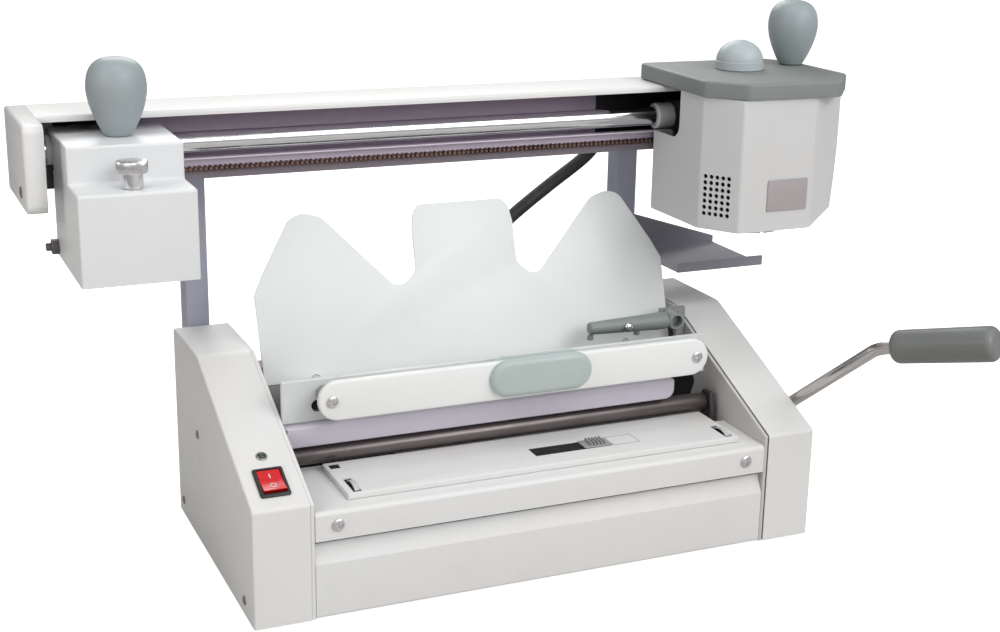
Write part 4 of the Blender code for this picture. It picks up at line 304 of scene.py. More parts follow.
def cover(name, path, plane, outer, inner, wall, edge, finish, body="frame", replaces=None,
          both=False, steps=4):
    """A sheet cover open along the line from the path's last point to its first: a flat end face
    at outer, bent round by the edge radius into the side band, which runs to inner. With both set,
    inner has an end face too.
    """
    rim = rounded_rim(outer, inner, edge, edge, steps)
    if not both:
        rim[steps + 1:] = [(0.0, inner)]
    turn, count = winding(path), len(path)
    points = np.array([lay(inset(path, drawn * turn, closed=False), plane, place) for drawn, place in rim])
    faces = grid_faces(len(rim), count, wrap=False) + end_caps(len(rim), count)[:2 if both else 1]
    if (inner - outer) * turn < 0:
        faces = flipped(faces)
    piece = add_piece(name, points, faces, finish, body, replaces)
    sheet = piece.modifiers.new("sheet", "SOLIDIFY")
    sheet.thickness = wall * MM
    sheet.offset = -1
    return piece


def cut(piece, points, faces):
    """Cut a closed shape out of a piece for good."""
    tool = new_object("tool", metres(points), faces)
    step = piece.modifiers.new("cut", "BOOLEAN")
    step.operation = "DIFFERENCE"
    step.solver = "EXACT"
    step.object = tool
    bpy.context.view_layer.update()
    graph = bpy.context.evaluated_depsgraph_get()
    piece_mesh = bpy.data.meshes.new_from_object(piece.evaluated_get(graph))
    piece.modifiers.clear()
    piece.data = piece_mesh
    shade_round(piece_mesh)
    bpy.data.objects.remove(tool, do_unlink=True)


BLOCK_FACES = [[0, 1, 3, 2], [4, 6, 7, 5], [0, 4, 5, 1], [2, 3, 7, 6], [0, 2, 6, 4], [1, 5, 7, 3]]


def block_corners(low, high):
    """Corners of a block in the order that BLOCK_FACES counts them."""
    share = np.array([[x, y, z] for x in (0, 1) for y in (0, 1) for z in (0, 1)])
    return share * np.subtract(high, low) + low


def cut_block(piece, low, high):
    cut(piece, block_corners(low, high), BLOCK_FACES)


def drill(piece, centres, direction, reach, radius, sides=16):
    """Cut round holes: the bit reaches to both sides of each centre."""
    side, other, along = axis_frame(direction)
    ring = radius * (circle(sides) @ np.array([side, other]))
    points, faces = [], []
    for centre in np.atleast_2d(centres):
        base = len(points) * sides
        points += [centre - along * reach + ring, centre + along * reach + ring]
        faces += grid_faces(2, sides, start=base) + end_caps(2, sides, base)
    cut(piece, np.vstack(points), faces)


def screw_head(name, centre, direction, radius, height, finish, body="frame"):
    """A pan head as a height over a disc: a dome that falls to the rim, with a cross sunk where
    either of two straight bands runs.
    """
    frame_axes = axis_frame(direction)
    rings, sides, arm, arm_reach = 22, 72, 0.13, 0.62
    share = np.linspace(0, 1, rings)[:, None]
    u, v = share * circle(sides)[:, 0], share * circle(sides)[:, 1]
    dome = np.sqrt(np.clip(1 - share ** 2 * 0.92, 0, 1))
    sunk = ((np.abs(u) < arm) | (np.abs(v) < arm)) & (share < arm_reach)
    tall = height * (0.25 + 0.75 * dome - 0.5 * sunk)
    points = np.stack([radius * u, radius * v, tall], -1)
    points = np.concatenate([points, points[-1:] * (1, 1, 0)]) @ np.array(frame_axes) + centre
    faces = grid_faces(rings + 1, sides) + end_caps(rings + 1, sides)[1:]
    return add_piece(name, points, flipped(faces), finish, body, sharp=30)


# Finishes

class Sum:
    """A number that varies over a surface, so that Python arithmetic adds its nodes."""

    def __init__(self, finish, socket):
        self.finish, self.socket = finish, socket

    def join(self, operation, first, second):
        node = self.finish.node("ShaderNodeMath", {"operation": operation}, {0: first, 1: second})
        return Sum(self.finish, node.outputs[0])

    def __add__(self, other):
        return self.join("ADD", self, other)

    def __sub__(self, other):
        return self.join("SUBTRACT", self, other)

    def __rsub__(self, other):
        return self.join("SUBTRACT", other, self)

    def __mul__(self, other):
        return self.join("MULTIPLY", self, other)

    __radd__, __rmul__ = __add__, __mul__

    def ramp(self, start, end):
        """0 below start, 1 above end and straight between them."""
        node = self.finish.node("ShaderNodeMapRange", {"clamp": True},
                                {"Value": self, "From Min": start, "From Max": end})
        return Sum(self.finish, node.outputs["Result"])


class Finish:
    """A material and its one shader."""

    def __init__(self, name, colour, metallic=0.0, roughness=0.5, specular=0.5):
        self.material = bpy.data.materials.new(name)
        self.material.use_nodes = True
        self.tree = self.material.node_tree
        self.shader = self.tree.nodes["Principled BSDF"]
        self.put(self.shader, {"Base Color": (*colour, 1), "Metallic": metallic,
                               "Roughness": roughness, "Specular IOR Level": specular})
        self.place = self.node("ShaderNodeTexCoord").outputs["Object"]

    def put(self, node, inputs):
        for key, value in inputs.items():
            if isinstance(value, Sum):
                value = value.socket
            if isinstance(value, bpy.types.NodeSocket):
                self.tree.links.new(value, node.inputs[key])
            else:
                node.inputs[key].default_value = value

    def node(self, kind, settings=(), inputs=()):
        node = self.tree.nodes.new(kind)
        for key, value in dict(settings).items():
            setattr(node, key, value)
        self.put(node, dict(inputs))
        return node

    def noise(self, scale, detail=2.0, stretch=None):
        place = self.place
        if stretch:
            place = self.node("ShaderNodeMapping", {}, {"Vector": place, "Scale": stretch}).outputs[0]
        node = self.node("ShaderNodeTexNoise", {}, {"Vector": place, "Scale": scale, "Detail": detail})
        return Sum(self, node.outputs[0])

    def blend(self, share, first, second):
        """Colour between two, by a share."""
        colours = [colour if isinstance(colour, bpy.types.NodeSocket) else (*colour, 1)
                   for colour in (first, second)]
        node = self.node("ShaderNodeMix", {"data_type": "RGBA"})
        self.put(node, {0: share, 6: colours[0], 7: colours[1]})
        return node.outputs[2]

    def bump(self, height, strength, distance):
        node = self.node("ShaderNodeBump", {}, {"Height": height, "Strength": strength, "Distance": distance})
        self.put(self.shader, {"Normal": node.outputs[0]})

    def shade(self, colour, roughness):
        self.put(self.shader, {"Base Color": colour, "Roughness": roughness})


def scaled(colour, *shares):
    """The colour times one share, or each channel times its own."""
    return tuple(np.multiply(colour, shares).tolist())


def powder_coat(name, colour, grain=0.35, soil=0.06, roughness=0.46):
    """Powder coat: fine orange peel, a slow drift of tone and faint handling marks."""
    finish = Finish(name, colour, roughness=roughness, specular=0.45)
    drift = finish.noise(9, 3)
    peel = finish.noise(850, 2)
    marks = finish.noise(60, 6).ramp(0.56, 0.78)
    tone = finish.blend(drift.ramp(0.35, 0.65), colour, scaled(colour, 0.985, 0.975, 0.955))
    tone = finish.blend(marks * 0.5, tone, scaled(colour, 1 - soil))
    finish.shade(tone, peel * 0.14 + marks * 0.1 + (roughness - 0.09))
    finish.bump(peel, grain, 0.00012)
    return finish.material


def moulded(name, colour, grain=0.25, roughness=0.42, gloss=0.5):
    """Moulded plastic: fine spark grain, slight shine and palm wear in patches."""
    finish = Finish(name, colour, roughness=roughness, specular=gloss)
    spark = finish.noise(1900, 2)
    worn = finish.noise(40, 4).ramp(0.5, 0.75)
    lighter = tuple(min(channel * 1.12 + 0.01, 1) for channel in colour)
    finish.shade(finish.blend(worn * 0.5, colour, lighter),
                 spark * 0.12 - worn * 0.08 + (roughness - 0.03))
    finish.bump(spark, grain, 0.00008)
    return finish.material


def machined(name, colour, roughness=0.3, stretch=(1, 60, 60), scale=30, metallic=1.0, stain=0.15):
    """Bare metal: hairlines along one way, and slow stains."""
    finish = Finish(name, colour, metallic=metallic, roughness=roughness)
    lines = finish.noise(scale, 3, stretch)
    stains = finish.noise(25, 5).ramp(0.5, 0.8)
    finish.shade(finish.blend(stains, colour, scaled(colour, 1 - stain)),
                 lines * 0.16 + stains * 0.12 + (roughness - 0.08))
    finish.bump(lines, 0.12, 0.00006)
    return finish.material


def plated(name, colour, roughness=0.1):
    """Chrome: near mirror, with hazy patches and light scratches round the bar."""
    finish = Finish(name, colour, metallic=1.0, roughness=roughness)
    haze = finish.noise(55, 5).ramp(0.45, 0.8)
    rings = finish.noise(20, 2, (90, 2, 2))
    finish.shade(finish.blend(haze * 0.4, colour, scaled(colour, 0.85)),
                 haze * 0.12 + rings * 0.05 + roughness)
    return finish.material


def rubbery(name, colour, roughness=0.75):
    """Matt black stuff with a little dust."""
    finish = Finish(name, colour, roughness=roughness)
    dust = finish.noise(180, 5).ramp(0.5, 0.8)
    finish.shade(finish.blend(dust * 0.3, colour, (0.12, 0.12, 0.12)), dust * 0.1 + roughness)
    finish.bump(finish.noise(1500, 2), 0.2, 0.0001)
    return finish.material


PALE = (0.79, 0.792, 0.795)
EVEN = {"stretch": (1, 1, 1), "scale": 400}
paint = powder_coat("pale_powder_coat", PALE)
paint_beam = powder_coat("beam_powder_coat", PALE)
head_paint = powder_coat("head_powder_coat", (0.67, 0.675, 0.69), roughness=0.4)
cool_paint = powder_coat("cool_powder_coat", (0.765, 0.782, 0.8), roughness=0.38)
paint_plate = powder_coat("back_plate_coat", (0.86, 0.9, 0.9), 0.18, 0.03)
paint_bar = powder_coat("clamp_bar_coat", (0.87, 0.88, 0.88), 0.12, 0.03, 0.38)
jaw_paint = powder_coat("jaw_plate_coat", (0.68, 0.71, 0.71), 0.12, 0.05, 0.36)
blue_paint = powder_coat("blue_grey_paint", (0.37, 0.385, 0.48), 0.2, 0.12)
tray_paint = powder_coat("tray_paint", (0.255, 0.25, 0.29), 0.2, 0.12)
# Violet grey for the lower jaw: painted shade, the tone it takes under the clamp bar.
jaw_shade_violet = powder_coat("jaw_shade_violet_coat", (0.585, 0.555, 0.64), 0.1, 0.08, 0.36)
# Violet grey for the inside of the beam's channel and the chain strip in it: painted shade.
channel_shade_paint = powder_coat("channel_shade_coat", (0.72, 0.64, 0.76), 0.1, 0.2, 0.42)
# Dark violet grey for the film over the beam's floor lip.
dark_lip_film = powder_coat("dark_floor_lip", (0.2, 0.175, 0.205), 0.1, 0.2, 0.42)
# Near black: the own paint of the control box and the motor can, and the sheets of painted shade inside the
# housings and the beam.
dark_coat_and_shade = powder_coat("dark_coat_and_shade", (0.035, 0.035, 0.04), 0.15, 0.2, 0.4)
grip_plastic = moulded("grey_green_plastic", (0.33, 0.38, 0.395))
# The lever grip's plastic is the grips' grey green made darker: painted shade.
shaded_lever_plastic = moulded("shaded_lever_grip_plastic", (0.18, 0.19, 0.184))
clamp_plastic = moulded("clamp_grip_plastic", (0.46, 0.53, 0.52))
lid_plastic = moulded("lid_plastic", (0.228, 0.248, 0.243), 0.4, 0.5)
dome_plastic = moulded("dome_plastic", (0.47, 0.53, 0.55), roughness=0.4)
light_plastic = moulded("light_ring_plastic", (0.62, 0.63, 0.64))
clip_plastic = moulded("clip_plastic", (0.55, 0.56, 0.56))
gauge_plastic = moulded("gauge_plastic", (0.245, 0.28, 0.275))
# Mid grey for the gauge bracket: painted shade, the tone it shows in shadow behind the gauge.
shaded_bracket_coat = powder_coat("shaded_bracket_coat", (0.3, 0.31, 0.3), 0.15, 0.2)
# A darker copy of the pale coat for the right frame plate: painted shade on its inner wall.
shaded_wall_paint = powder_coat("shaded_inner_wall_paint", (0.6, 0.575, 0.565), 0.2, 0.2)
rod_chrome = plated("rod_chrome", (0.56, 0.54, 0.53), 0.13)
slider_plastic = moulded("slider_plastic", (0.33, 0.34, 0.34))
black_plastic = moulded("black_plastic", (0.018, 0.018, 0.02), roughness=0.38)
# Deep black: the right housing's joint and the head's boot, and painted shade in the platform's slots, the
# jaw's hole and behind the head's vents.
black_and_hole_shade = rubbery("deep_black_and_hole_shade", (0.004, 0.004, 0.004), 0.9)
hose_black = rubbery("conduit_black", (0.02, 0.02, 0.022), 0.55)
foot_rubber = rubbery("foot_rubber", (0.025, 0.025, 0.025))
chrome = plated("chrome", (0.74, 0.74, 0.76))
screw_metal = plated("screw_metal", (0.68, 0.67, 0.68), 0.24)
dark_screw = plated("dark_screw_metal", (0.33, 0.3, 0.26), 0.3)
steel = machined("machined_steel", (0.45, 0.45, 0.46))
# Dark steel: the side stud's own metal, and painted shade on the bed, crossbar and press arms in the well
# behind the jaw.
dark_steel_and_shade = machined("dark_steel_and_shade", (0.16, 0.15, 0.155), 0.4)
nip_metal = machined("nip_bar_metal", (0.15, 0.13, 0.13), 0.34, (1, 40, 40), metallic=0.8, stain=0.3)
aluminium = machined("aluminium", (0.6, 0.6, 0.6), 0.4)
label_metal = machined("label_metal", (0.5, 0.465, 0.48), 0.42, (2, 2, 120), metallic=0.6, stain=0.05)
chain_metal = machined("chain_metal", (0.14, 0.085, 0.075), 0.38, stain=0.6, **EVEN)
pin_metal = machined("chain_pin_metal", (0.3, 0.22, 0.2), 0.3, stain=0.3, **EVEN)
switch_red = moulded("switch_red", (0.66, 0.008, 0.01), 0.05, 0.22, 0.6)
mark_white = moulded("mark_white", (0.8, 0.8, 0.8), 0.05)
lamp_green = moulded("lamp_green", (0.012, 0.055, 0.03), 0.05, 0.15, 0.7)
print_grey = moulded("print_grey", (0.3, 0.3, 0.31), 0.05)

# Sizes that the frame's boxes don't give, read from the photo
FLOOR_GAP = 2
FRONT_HEIGHT = 93.5
SLOPE_DEPTH = 158
SHEET = 1.2
BEND = 1.7

left_low, left_high = box("left_frame_plate")
right_low, right_high = box("right_frame_plate")
pan_low, pan_high = box("base_pan")
table_low, table_high = box("table")
beam_low, beam_high = box("beam")
rail_low, rail_high = box("guide_shaft")
rail_centre = middle("guide_shaft")
base_right = right_high[0] + left_low[0]
top_height = left_high[2] + 0.5
SLOPE_ANGLE = math.atan2(top_height - FRONT_HEIGHT, SLOPE_DEPTH)


def on_slope(x, depth, lift):
    """A place on the housings' slope, at a depth from the front and lifted square off it."""
    height = FRONT_HEIGHT + (top_height - FRONT_HEIGHT) * depth / SLOPE_DEPTH
    return tilted((x, depth, height), SLOPE_ANGLE)((0, 0, lift))


def housing_path():
    """Side view of a housing: up the front, along the slope, over the top and down the back."""
    corners = [(0, FLOOR_GAP), (0, FRONT_HEIGHT), (SLOPE_DEPTH, top_height),
               (left_high[1], top_height), (left_high[1], FLOOR_GAP)]
    return fillet(corners, [0, 4, 30, 4, 0], 8, closed=False)


def make_housings():
    """Two bent covers, a dark joint between the right one and its frame plate, a black sheet of painted shade
    on the left frame plate's inner face and a dark sheet of painted shadow on the right one's inner wall.
    """
    seam = 0.9
    left = cover("left_housing_skin", housing_path(), "yz", 0, left_low[0] - 0.3, SHEET, BEND,
                 paint, "frame", "left_housing")
    room, on_bezel = np.array([9.1, 12.2, 9.0]), tilted(middle("switch_bezel"), SLOPE_ANGLE)
    cut(left, on_bezel(block_corners(-room, room)), BLOCK_FACES)
    right = cover("right_housing_skin", housing_path(), "yz", base_right, right_high[0] + seam, SHEET,
                  BEND, paint, "frame", "right_housing")
    shade = inset(anticlockwise(housing_path()), seam)
    slab("right_seam", shade, "yz", right_high[0] + 0.1, right_high[0] + seam - 0.1, FILM, black_and_hole_shade)
    # A black sheet on the left frame plate's inner face is painted shade.
    slab("left_plate_shade", inset(shade, 0.5), "yz", left_high[0] + 0.1, left_high[0] + 0.25, FILM, dark_coat_and_shade)
    # A dark sheet on the right frame plate's inner wall, behind the jaw, is painted shadow.
    wall_shadow = fillet([(114, 106), (127, 76), (166, 76), (166, 112), (136, 119)], [5, 2, 2, 8, 14], 6)
    slab("inner_wall_shadow", wall_shadow, "yz", right_low[0] - 0.25, right_low[0] - 0.1, FILM, dark_coat_and_shade)
    axle = middle("lever_shaft")
    drill(right, (base_right, axle[1], axle[2]), X, 20, 6.6, 32)
    for side, x, way in (("left", 0, -1), ("right", base_right, 1)):
        for index, (y, z) in enumerate(((26.5, 14.0), (223.8, 15.2), (162.7, 94.9))):
            screw_head(f"side_screw_{side}_{index}", (x + way * HAIR, y, z), way * X, 3.5, 1.3, dark_screw)


def make_base():
    """Pan, feet, and the table with its apron and screws."""
    half = SHEET / 2
    front, back, deck, floor = pan_low[1] + half, pan_high[1] - half, pan_high[2] - half, 2.6
    path = [(pan_low[1] + 7, 59), (front, 44.5), (front, floor), (back, floor), (back, deck), (182, deck)]
    slab("base_pan_skin", sheet_outline(path, SHEET, [0, 1.5, 2, 2, 3, 0]), "yz", pan_low[0], pan_high[0],
         HAIR, paint, "frame", "base_pan")
    for index, x in enumerate((pan_low[0] + 28, pan_high[0] - 28)):
        for side, y in enumerate((28, 213.2)):
            turned(f"foot_{index}{side}", [(7.5, 0), (8.8, 0.4), (9, 1.9)], (x, y, 0), Z,
                   foot_rubber, sides=32)
    wall, top, notch_front, notch_width, screw_in = 1.5, table_high[2], 64, 10, 17
    path = [(wall / 2, table_low[2]), (wall / 2, top - wall / 2), (table_high[1], top - wall / 2)]
    table = slab("table_skin", sheet_outline(path, wall, [0, 3.2, 0], 8), "yz", table_low[0], table_high[0],
                 HAIR, paint, "frame", "table")
    for start, end in ((table_low[0] - wall, table_low[0] + notch_width),
                       (table_high[0] - notch_width, table_high[0] + wall)):
        cut_block(table, (start, notch_front, top - 4), (end, table_high[1] + wall, top + wall))
    for index, x in enumerate((table_low[0] + screw_in, table_high[0] - screw_in)):
        screw_head(f"apron_screw_{index}", (x, -HAIR, top - 11), -Y, 4.8, 2.2, screw_metal)


def ring_strip(name, left, front, right, back, width, height, finish):
    """A thin printed frame laid on a level face."""
    bars = [(left, front, right, front + width), (left, back - width, right, back),
            (left, front + width, left + width, back - width),
            (right - width, front + width, right, back - width)]
    points = [block_corners((x0, y0, height), (x1, y1, height + HAIR)) for x0, y0, x1, y1 in bars]
    faces = [[8 * bar + i for i in face] for bar in range(4) for face in BLOCK_FACES]
    add_piece(name, np.vstack(points), faces, finish, smooth=False)


def make_platform():
    """Raised plate with its slots cut through, black sheets of painted shade below and in them, the slider
    and two spring tongues.
    """
    low, high = box("thickness_slider")
    low[1] -= 5.5
    top = box("cover_platform")[1][2] - 1.2
    base = table_high[2]
    clips = [84.6, 400.6]
    plate = slab("platform_skin", fillet(rectangle(76, 14.5, 407.6, 78.2), 1.2), "xy", base + 0.3, top, 0.7,
                 paint, "frame", "cover_platform")
    slots = [(236, 33.5, 303, 50.5), *((x - 3.4, 17, x + 3, 44) for x in clips), (79, 65, 87.2, 75)]
    for index, (left, front, right, back) in enumerate(slots):
        cut_block(plate, (left, front, base - 1), (right, back, top + 1))
        # Below each slot lies a black sheet of painted shade.
        level = top - 1.2 if index else base + 0.4
        slab(f"slot_shade_{index}", rectangle(left, front, right, back), "xy", level, level + 0.2, FILM,
             black_and_hole_shade)
    left, front, right, back = slots[0]
    # A black block in the wide slot is painted shade.
    slab("slot_shade_fill", rectangle(left + HAIR, front + HAIR, right - HAIR, back - HAIR), "xy", base + 0.6,
         top - 0.5, FILM, black_and_hole_shade)
    ring_strip("scale_frame", right + 0.5, front - 0.4, 327, back + 0.4, 0.5, top, print_grey)
    button = slab("slider_button", fillet(rectangle(*low[:2], *high[:2]), 1.5), "xy", top - 0.35,
                  high[2] - 1.4, 0.6, slider_plastic, "thickness_runner", "thickness_slider")
    for index in range(5):
        x = low[0] + (index + 2) * (high[0] - low[0]) / 8
        cut_block(button, (x, low[1] + 1.5, high[2] - 2), (x + 1.2, high[1] - 1.5, high[2] + 1))
    # A tongue arches as a sine raised to a power below one, which flattens its top
    share = np.linspace(0, 1, 15)
    arch = np.stack([20 + share * 22, top - 2.2 + 3.9 * np.sin(share * math.pi) ** 0.7], -1)
    arch = np.vstack([arch - [0, 0.5], (arch + [0, 0.5])[::-1]])
    for index, x in enumerate(clips):
        slab(f"clip_tongue_{index}", arch, "yz", x - 1.2, x + 2.7, 0.2, clip_plastic, steps=2)


def make_press():
    """Nip bar, lower jaw, and the lever with its shaft, bent rod and grip."""
    low, high = box("nip_bar")
    length, radius = high[0] - low[0], 7.5
    shape = [(radius - 1, 0), (radius - 0.3, 0.3), (radius, 1), (radius, length - 1),
             (radius - 0.3, length - 0.3), (radius - 1, length)]
    turned("nip_bar_roller", shape, (low[0], 85, 97), X, nip_metal, "press_frame", "nip_bar")
    low, high = box("lower_jaw")
    outline = fillet(rectangle(low[0], low[2], high[0], high[2]), [0.5, 9, 1.5, 0.5], 8)
    slab("lower_jaw_bar", outline, "xz", low[1], high[1], 1.5, jaw_shade_violet, "press_frame", "lower_jaw")
    low, high = box("lever_shaft")
    length = high[0] - low[0]
    collar = length - 14
    shape = [(5.4, 0), (6, 0.6), (6, collar), (10.4, collar), (11, collar + 0.6),
             (11, length - 1), (10, length)]
    turned("lever_axle", shape, (low[0], *middle("lever_shaft")[1:]), X, chrome, "press_frame", "lever_shaft")
    pivot, elbow = np.array([478, 80, 76.4]), np.array([478, -63, 181])
    along = (elbow - pivot) / np.linalg.norm(elbow - pivot)
    outward = np.array([0.484, -0.845, 0.227])
    outward /= np.linalg.norm(outward)
    bend_reach = 9
    # The rod's bend is a quadratic curve from the lever to the grip, drawn towards the elbow
    share = np.linspace(0, 1, 14)[:, None]
    first, last = elbow - along * bend_reach, elbow + outward * bend_reach
    bend = (1 - share) ** 2 * first + 2 * share * (1 - share) * elbow + share ** 2 * last
    foot = pivot + along * 11.3
    straight = foot + (first - foot) * np.linspace(0, 1, 6, endpoint=False)[:, None]
    path = np.vstack([straight, bend, [elbow + outward * 12.7]])
    tube("lever_bar", path, 5, rod_chrome, "press_frame", "lever_rod", sides=40)
    # The grip widens a little along its length, between ends that are quarter ellipses
    radius, length, end = 13.5, 81.8, 6
    quarter = np.linspace(0, math.pi / 2, 8)
    shape = [(radius * (0.6 + 0.36 * math.sin(a)), end * (1 - math.cos(a))) for a in quarter]
    shape += [(radius * (0.96 + 0.04 * share), end + share * (length - 2 * end))
              for share in np.linspace(0.1, 1, 8)]
    shape += [(radius * (0.6 + 0.4 * math.cos(a)), length - end + end * math.sin(a)) for a in quarter[1:]]
    turned("lever_handle", shape, elbow + outward * 13 + (0, 0, 0.8), outward, shaded_lever_plastic, "press_frame",
           "lever_grip", sharp=60)


def pill(left, right, height, radius, steps=16):
    """Straight bar outline with half-round ends."""
    angle = np.linspace(-math.pi / 2, math.pi / 2, steps)
    arc = np.stack([np.cos(angle), np.sin(angle)], -1) * radius
    return np.vstack([arc + [right - radius, height], -arc + [left + radius, height]])


def make_clamp():
    """White clamp bar with its grip, screws and spacers, a black disc and ring of painted shade in the jaw's
    hole, and the two rods.
    """
    low, high = box("clamp_bar")
    front, back, height, radius, screw_in = 58.5, 64.5, 147, 15.5, 10.5
    slab("clamp_bar_skin", pill(low[0], high[0], height, radius), "xz", front, back, 1.6, paint_bar,
         "clamp", "clamp_bar")
    for index, x in enumerate((low[0] + screw_in, high[0] - screw_in)):
        screw_head(f"clamp_screw_{index}", (x, front - HAIR, height), -Y, 4.6, 2, screw_metal, "clamp")
        turned(f"clamp_spacer_{index}", bar(6, 17, 0.4), (x, back + HAIR, height),
               Y, steel, "clamp", sides=40)
    low, high = box("clamp_grip")
    outline = pill(low[0], high[0], (low[2] + high[2]) / 2, (high[2] - low[2]) / 2)
    slab("clamp_grip_front", outline, "xz", low[1], front - HAIR, 4.5, clamp_plastic, "clamp", "clamp_grip",
         6, 0.5)
    slab("clamp_grip_back", outline, "xz", back + HAIR, high[1], 0.5, clamp_plastic, "clamp", edge_end=2)
    # The black disc and ring in the jaw's hole are painted shade.
    hole = np.array([74.2, 83, 137.1])
    turned("jaw_hole_shade", [(3.95, 0), (3.95, 2)], hole, Y, black_and_hole_shade, "clamp", sides=32)
    turned("jaw_hole_shade_ring", [(4.6, 0), (4.6, 0.5), (3.9, 0.5), (3.9, 0)], hole - (0, 1.5, 0), Y, black_and_hole_shade,
           "clamp", sides=32, ring=True)
    for name in ("left_clamp_rod", "right_clamp_rod"):
        low, high = box(name)
        length, radius = high[1] - low[1], 4
        shape = [(radius - 0.6, 0), (radius, 0.6), (radius, length - 0.8), (radius - 0.8, length)]
        x, _, z = middle(name)
        turned(f"{name}_bar", shape, (x, low[1], z), Y, chrome, "clamp", name, sides=40)


def make_back_plate():
    """The two peaks and the tongue, drawn as a rounded outline on the leaning plane."""
    half = [(182.5, 0), (183.2, 72), (175, 88), (148.4, 131), (137, 134.5), (122, 130.5), (66, 70), (56, 70),
            (45.4, 80), (45.4, 114), (43, 127.6), (37, 134.5)]
    radii = [0, 4, 8, 14, 14, 16, 8, 9, 8, 14, 10, 4]
    outline = fillet(half + [(-x, z) for x, z in reversed(half)], radii + radii[::-1], 8)
    foot, lean, rod_height, rod_apart = np.array([235, 152.1, 132.7]), math.atan(0.333), 133, 140
    piece = slab("back_plate_skin", outline, "xy", -0.75, 0.75, 0.3, paint_plate, "frame", "back_plate",
                 put=tilted(foot, math.pi / 2 - lean))
    centre = (pan_low[0] + pan_high[0]) / 2
    drill(piece, [(centre + way * rod_apart, foot[1], rod_height) for way in (-1, 1)], Y, 20, 4.3, 24)


def make_gauge():
    """Side gauge: a ring on its pin, a tapering arm, a ball-headed screw and two feet."""
    pivot, width, outer, bore = np.array([407, 120.5, 158]), 15.5, 7.6, 5.2
    shape = bar(outer, width, 1) + [(bore, width), (bore, 0)]
    turned("gauge_ring", shape, pivot, Y, gauge_plastic, "side_gauge", "gauge_arm", ring=True)
    shape = [(6.9, 0), (7.3, 2), (7.4, 9), (7.0, 16), (6.6, 30), (6.2, 42), (5.9, 55), (5.4, 68), (5.3, 72),
             (4.6, 73.2), (2, 73.6)]
    turned("gauge_body", shape, pivot + (0.4 - outer, width / 2, 0), -X, gauge_plastic,
           "side_gauge", sides=48)
    shape = [(2.6, 0), (2.6, 0.8), (3.6, 1.4), (4.1, 2.6), (3.8, 3.8), (2.6, 4.8), (0.4, 5.1)]
    turned("gauge_screw_ball", shape, pivot + (-47, width / 2 - 5.6, 0), -Y, chrome,
           "side_gauge", sides=40, sharp=60)
    for index, reach in enumerate((35, 79)):
        turned(f"gauge_foot_{index}", [(2.6, 0), (2.6, 3.6), (2.2, 4)], pivot + (-reach, width / 2, -6), -Z,
               gauge_plastic, "side_gauge", sides=24)


def make_beam():
    """Bent channel with sheets of painted shade inside it and a dark film on its floor lip, the left cap, the
    guide shaft and its spacer.
    """
    low, high = beam_low, beam_high
    wall = SHEET / 2
    floor_front = 174.2 + wall
    path = [(floor_front, 304.5), (floor_front, low[2] + wall), (high[1] - wall, low[2] + wall),
            (high[1] - wall, high[2] - wall), (low[1] + wall, high[2] - wall), (low[1] + wall, high[2] - 4.6)]
    slab("beam_skin", sheet_outline(path, SHEET, [0, 1.2, 3, 3, 2.4, 0]), "yz", low[0], high[0], HAIR,
         paint_beam, "frame", "beam")
    # A dark violet-grey film covers the beam's floor lip, far darker than the beam's pale coat.
    lip = sheet_outline([(floor_front - 0.8, low[2] + 0.2), (floor_front - 0.8, 305)], 0.3, 0)
    slab("floor_lip_skin", lip, "yz", low[0] + HAIR, high[0] - HAIR, HAIR / 2, dark_lip_film)
    violet_shade_gap, shade_gap = SHEET + 0.4, SHEET + 0.9
    # Sheets just inside the channel are painted shade: violet grey along the whole beam, black at the left
    # end and over the right part.
    for name, gap, wall, start, end, finish in (
            ("beam_violet_shade", violet_shade_gap, 0.4, low[0] + 1, high[0] - 1, channel_shade_paint),
            ("beam_shade_left", shade_gap, 0.3, low[0] + 1, low[0] + 68, dark_coat_and_shade),
            ("beam_shade_right", shade_gap, 0.3, 368, high[0] - 1, dark_coat_and_shade)):
        front, back, floor, ceiling = floor_front + gap, high[1] - gap, low[2] + gap, high[2] - gap
        path = [(front, floor + 3), (front, floor), (back, floor), (back, ceiling), (low[1] + gap, ceiling)]
        slab(name, sheet_outline(path, wall, 1.5), "yz", start, end, HAIR / 2, finish)
    # A black sheet before the left end of the chain is painted shade.
    chain_front = box("roller_chain")[0][1]
    slab("chain_end_shade", rectangle(low[0] + 1, low[2] + 1, -86, 315.5), "xz", chain_front - 0.8,
         chain_front - 0.5, FILM, dark_coat_and_shade)

    low, high = box("beam_left_cap")
    left, gap = low[0] + 1.5, 1.6
    path = fillet([(high[1], low[2]), (low[1], low[2]), (low[1], high[2]), (high[1], high[2])], [0, 7, 6, 0],
                  8, closed=False)
    cover("beam_left_cap_skin", path, "yz", left, high[0], 1.5, 2.5, paint, "frame", "beam_left_cap")
    inside, joint_right = 2.4, beam_low[0] + 19
    back_plate = rectangle(left + gap, low[2] + gap, high[0], high[2] - gap)
    joint_plate = rectangle(high[0] + 0.1, beam_low[2] + inside, joint_right, beam_high[2] - inside)
    for name, closing in (("cap_back_skin", back_plate), ("cap_joint_skin", joint_plate)):
        slab(name, closing, "xz", high[1] - gap, high[1] - 0.4, HAIR, paint)
    screw_head("cap_screw", (left - HAIR, 133.7, 305.3), -X, 4.2, 1.25, dark_screw)

    turned("guide_rail", bar(8, rail_high[0] - rail_low[0], 1), (rail_low[0], *rail_centre[1:]), X,
           chrome, "frame", "guide_shaft", sides=96)
    low, high = box("shaft_spacer")
    length, bore = high[0] - low[0], 8.3
    shape = bar(11, length, 0.6) + [(bore, length), (bore, 0)]
    turned("shaft_spacer_ring", shape, (low[0], *rail_centre[1:]), X, light_plastic,
           "frame", "shaft_spacer", ring=True)


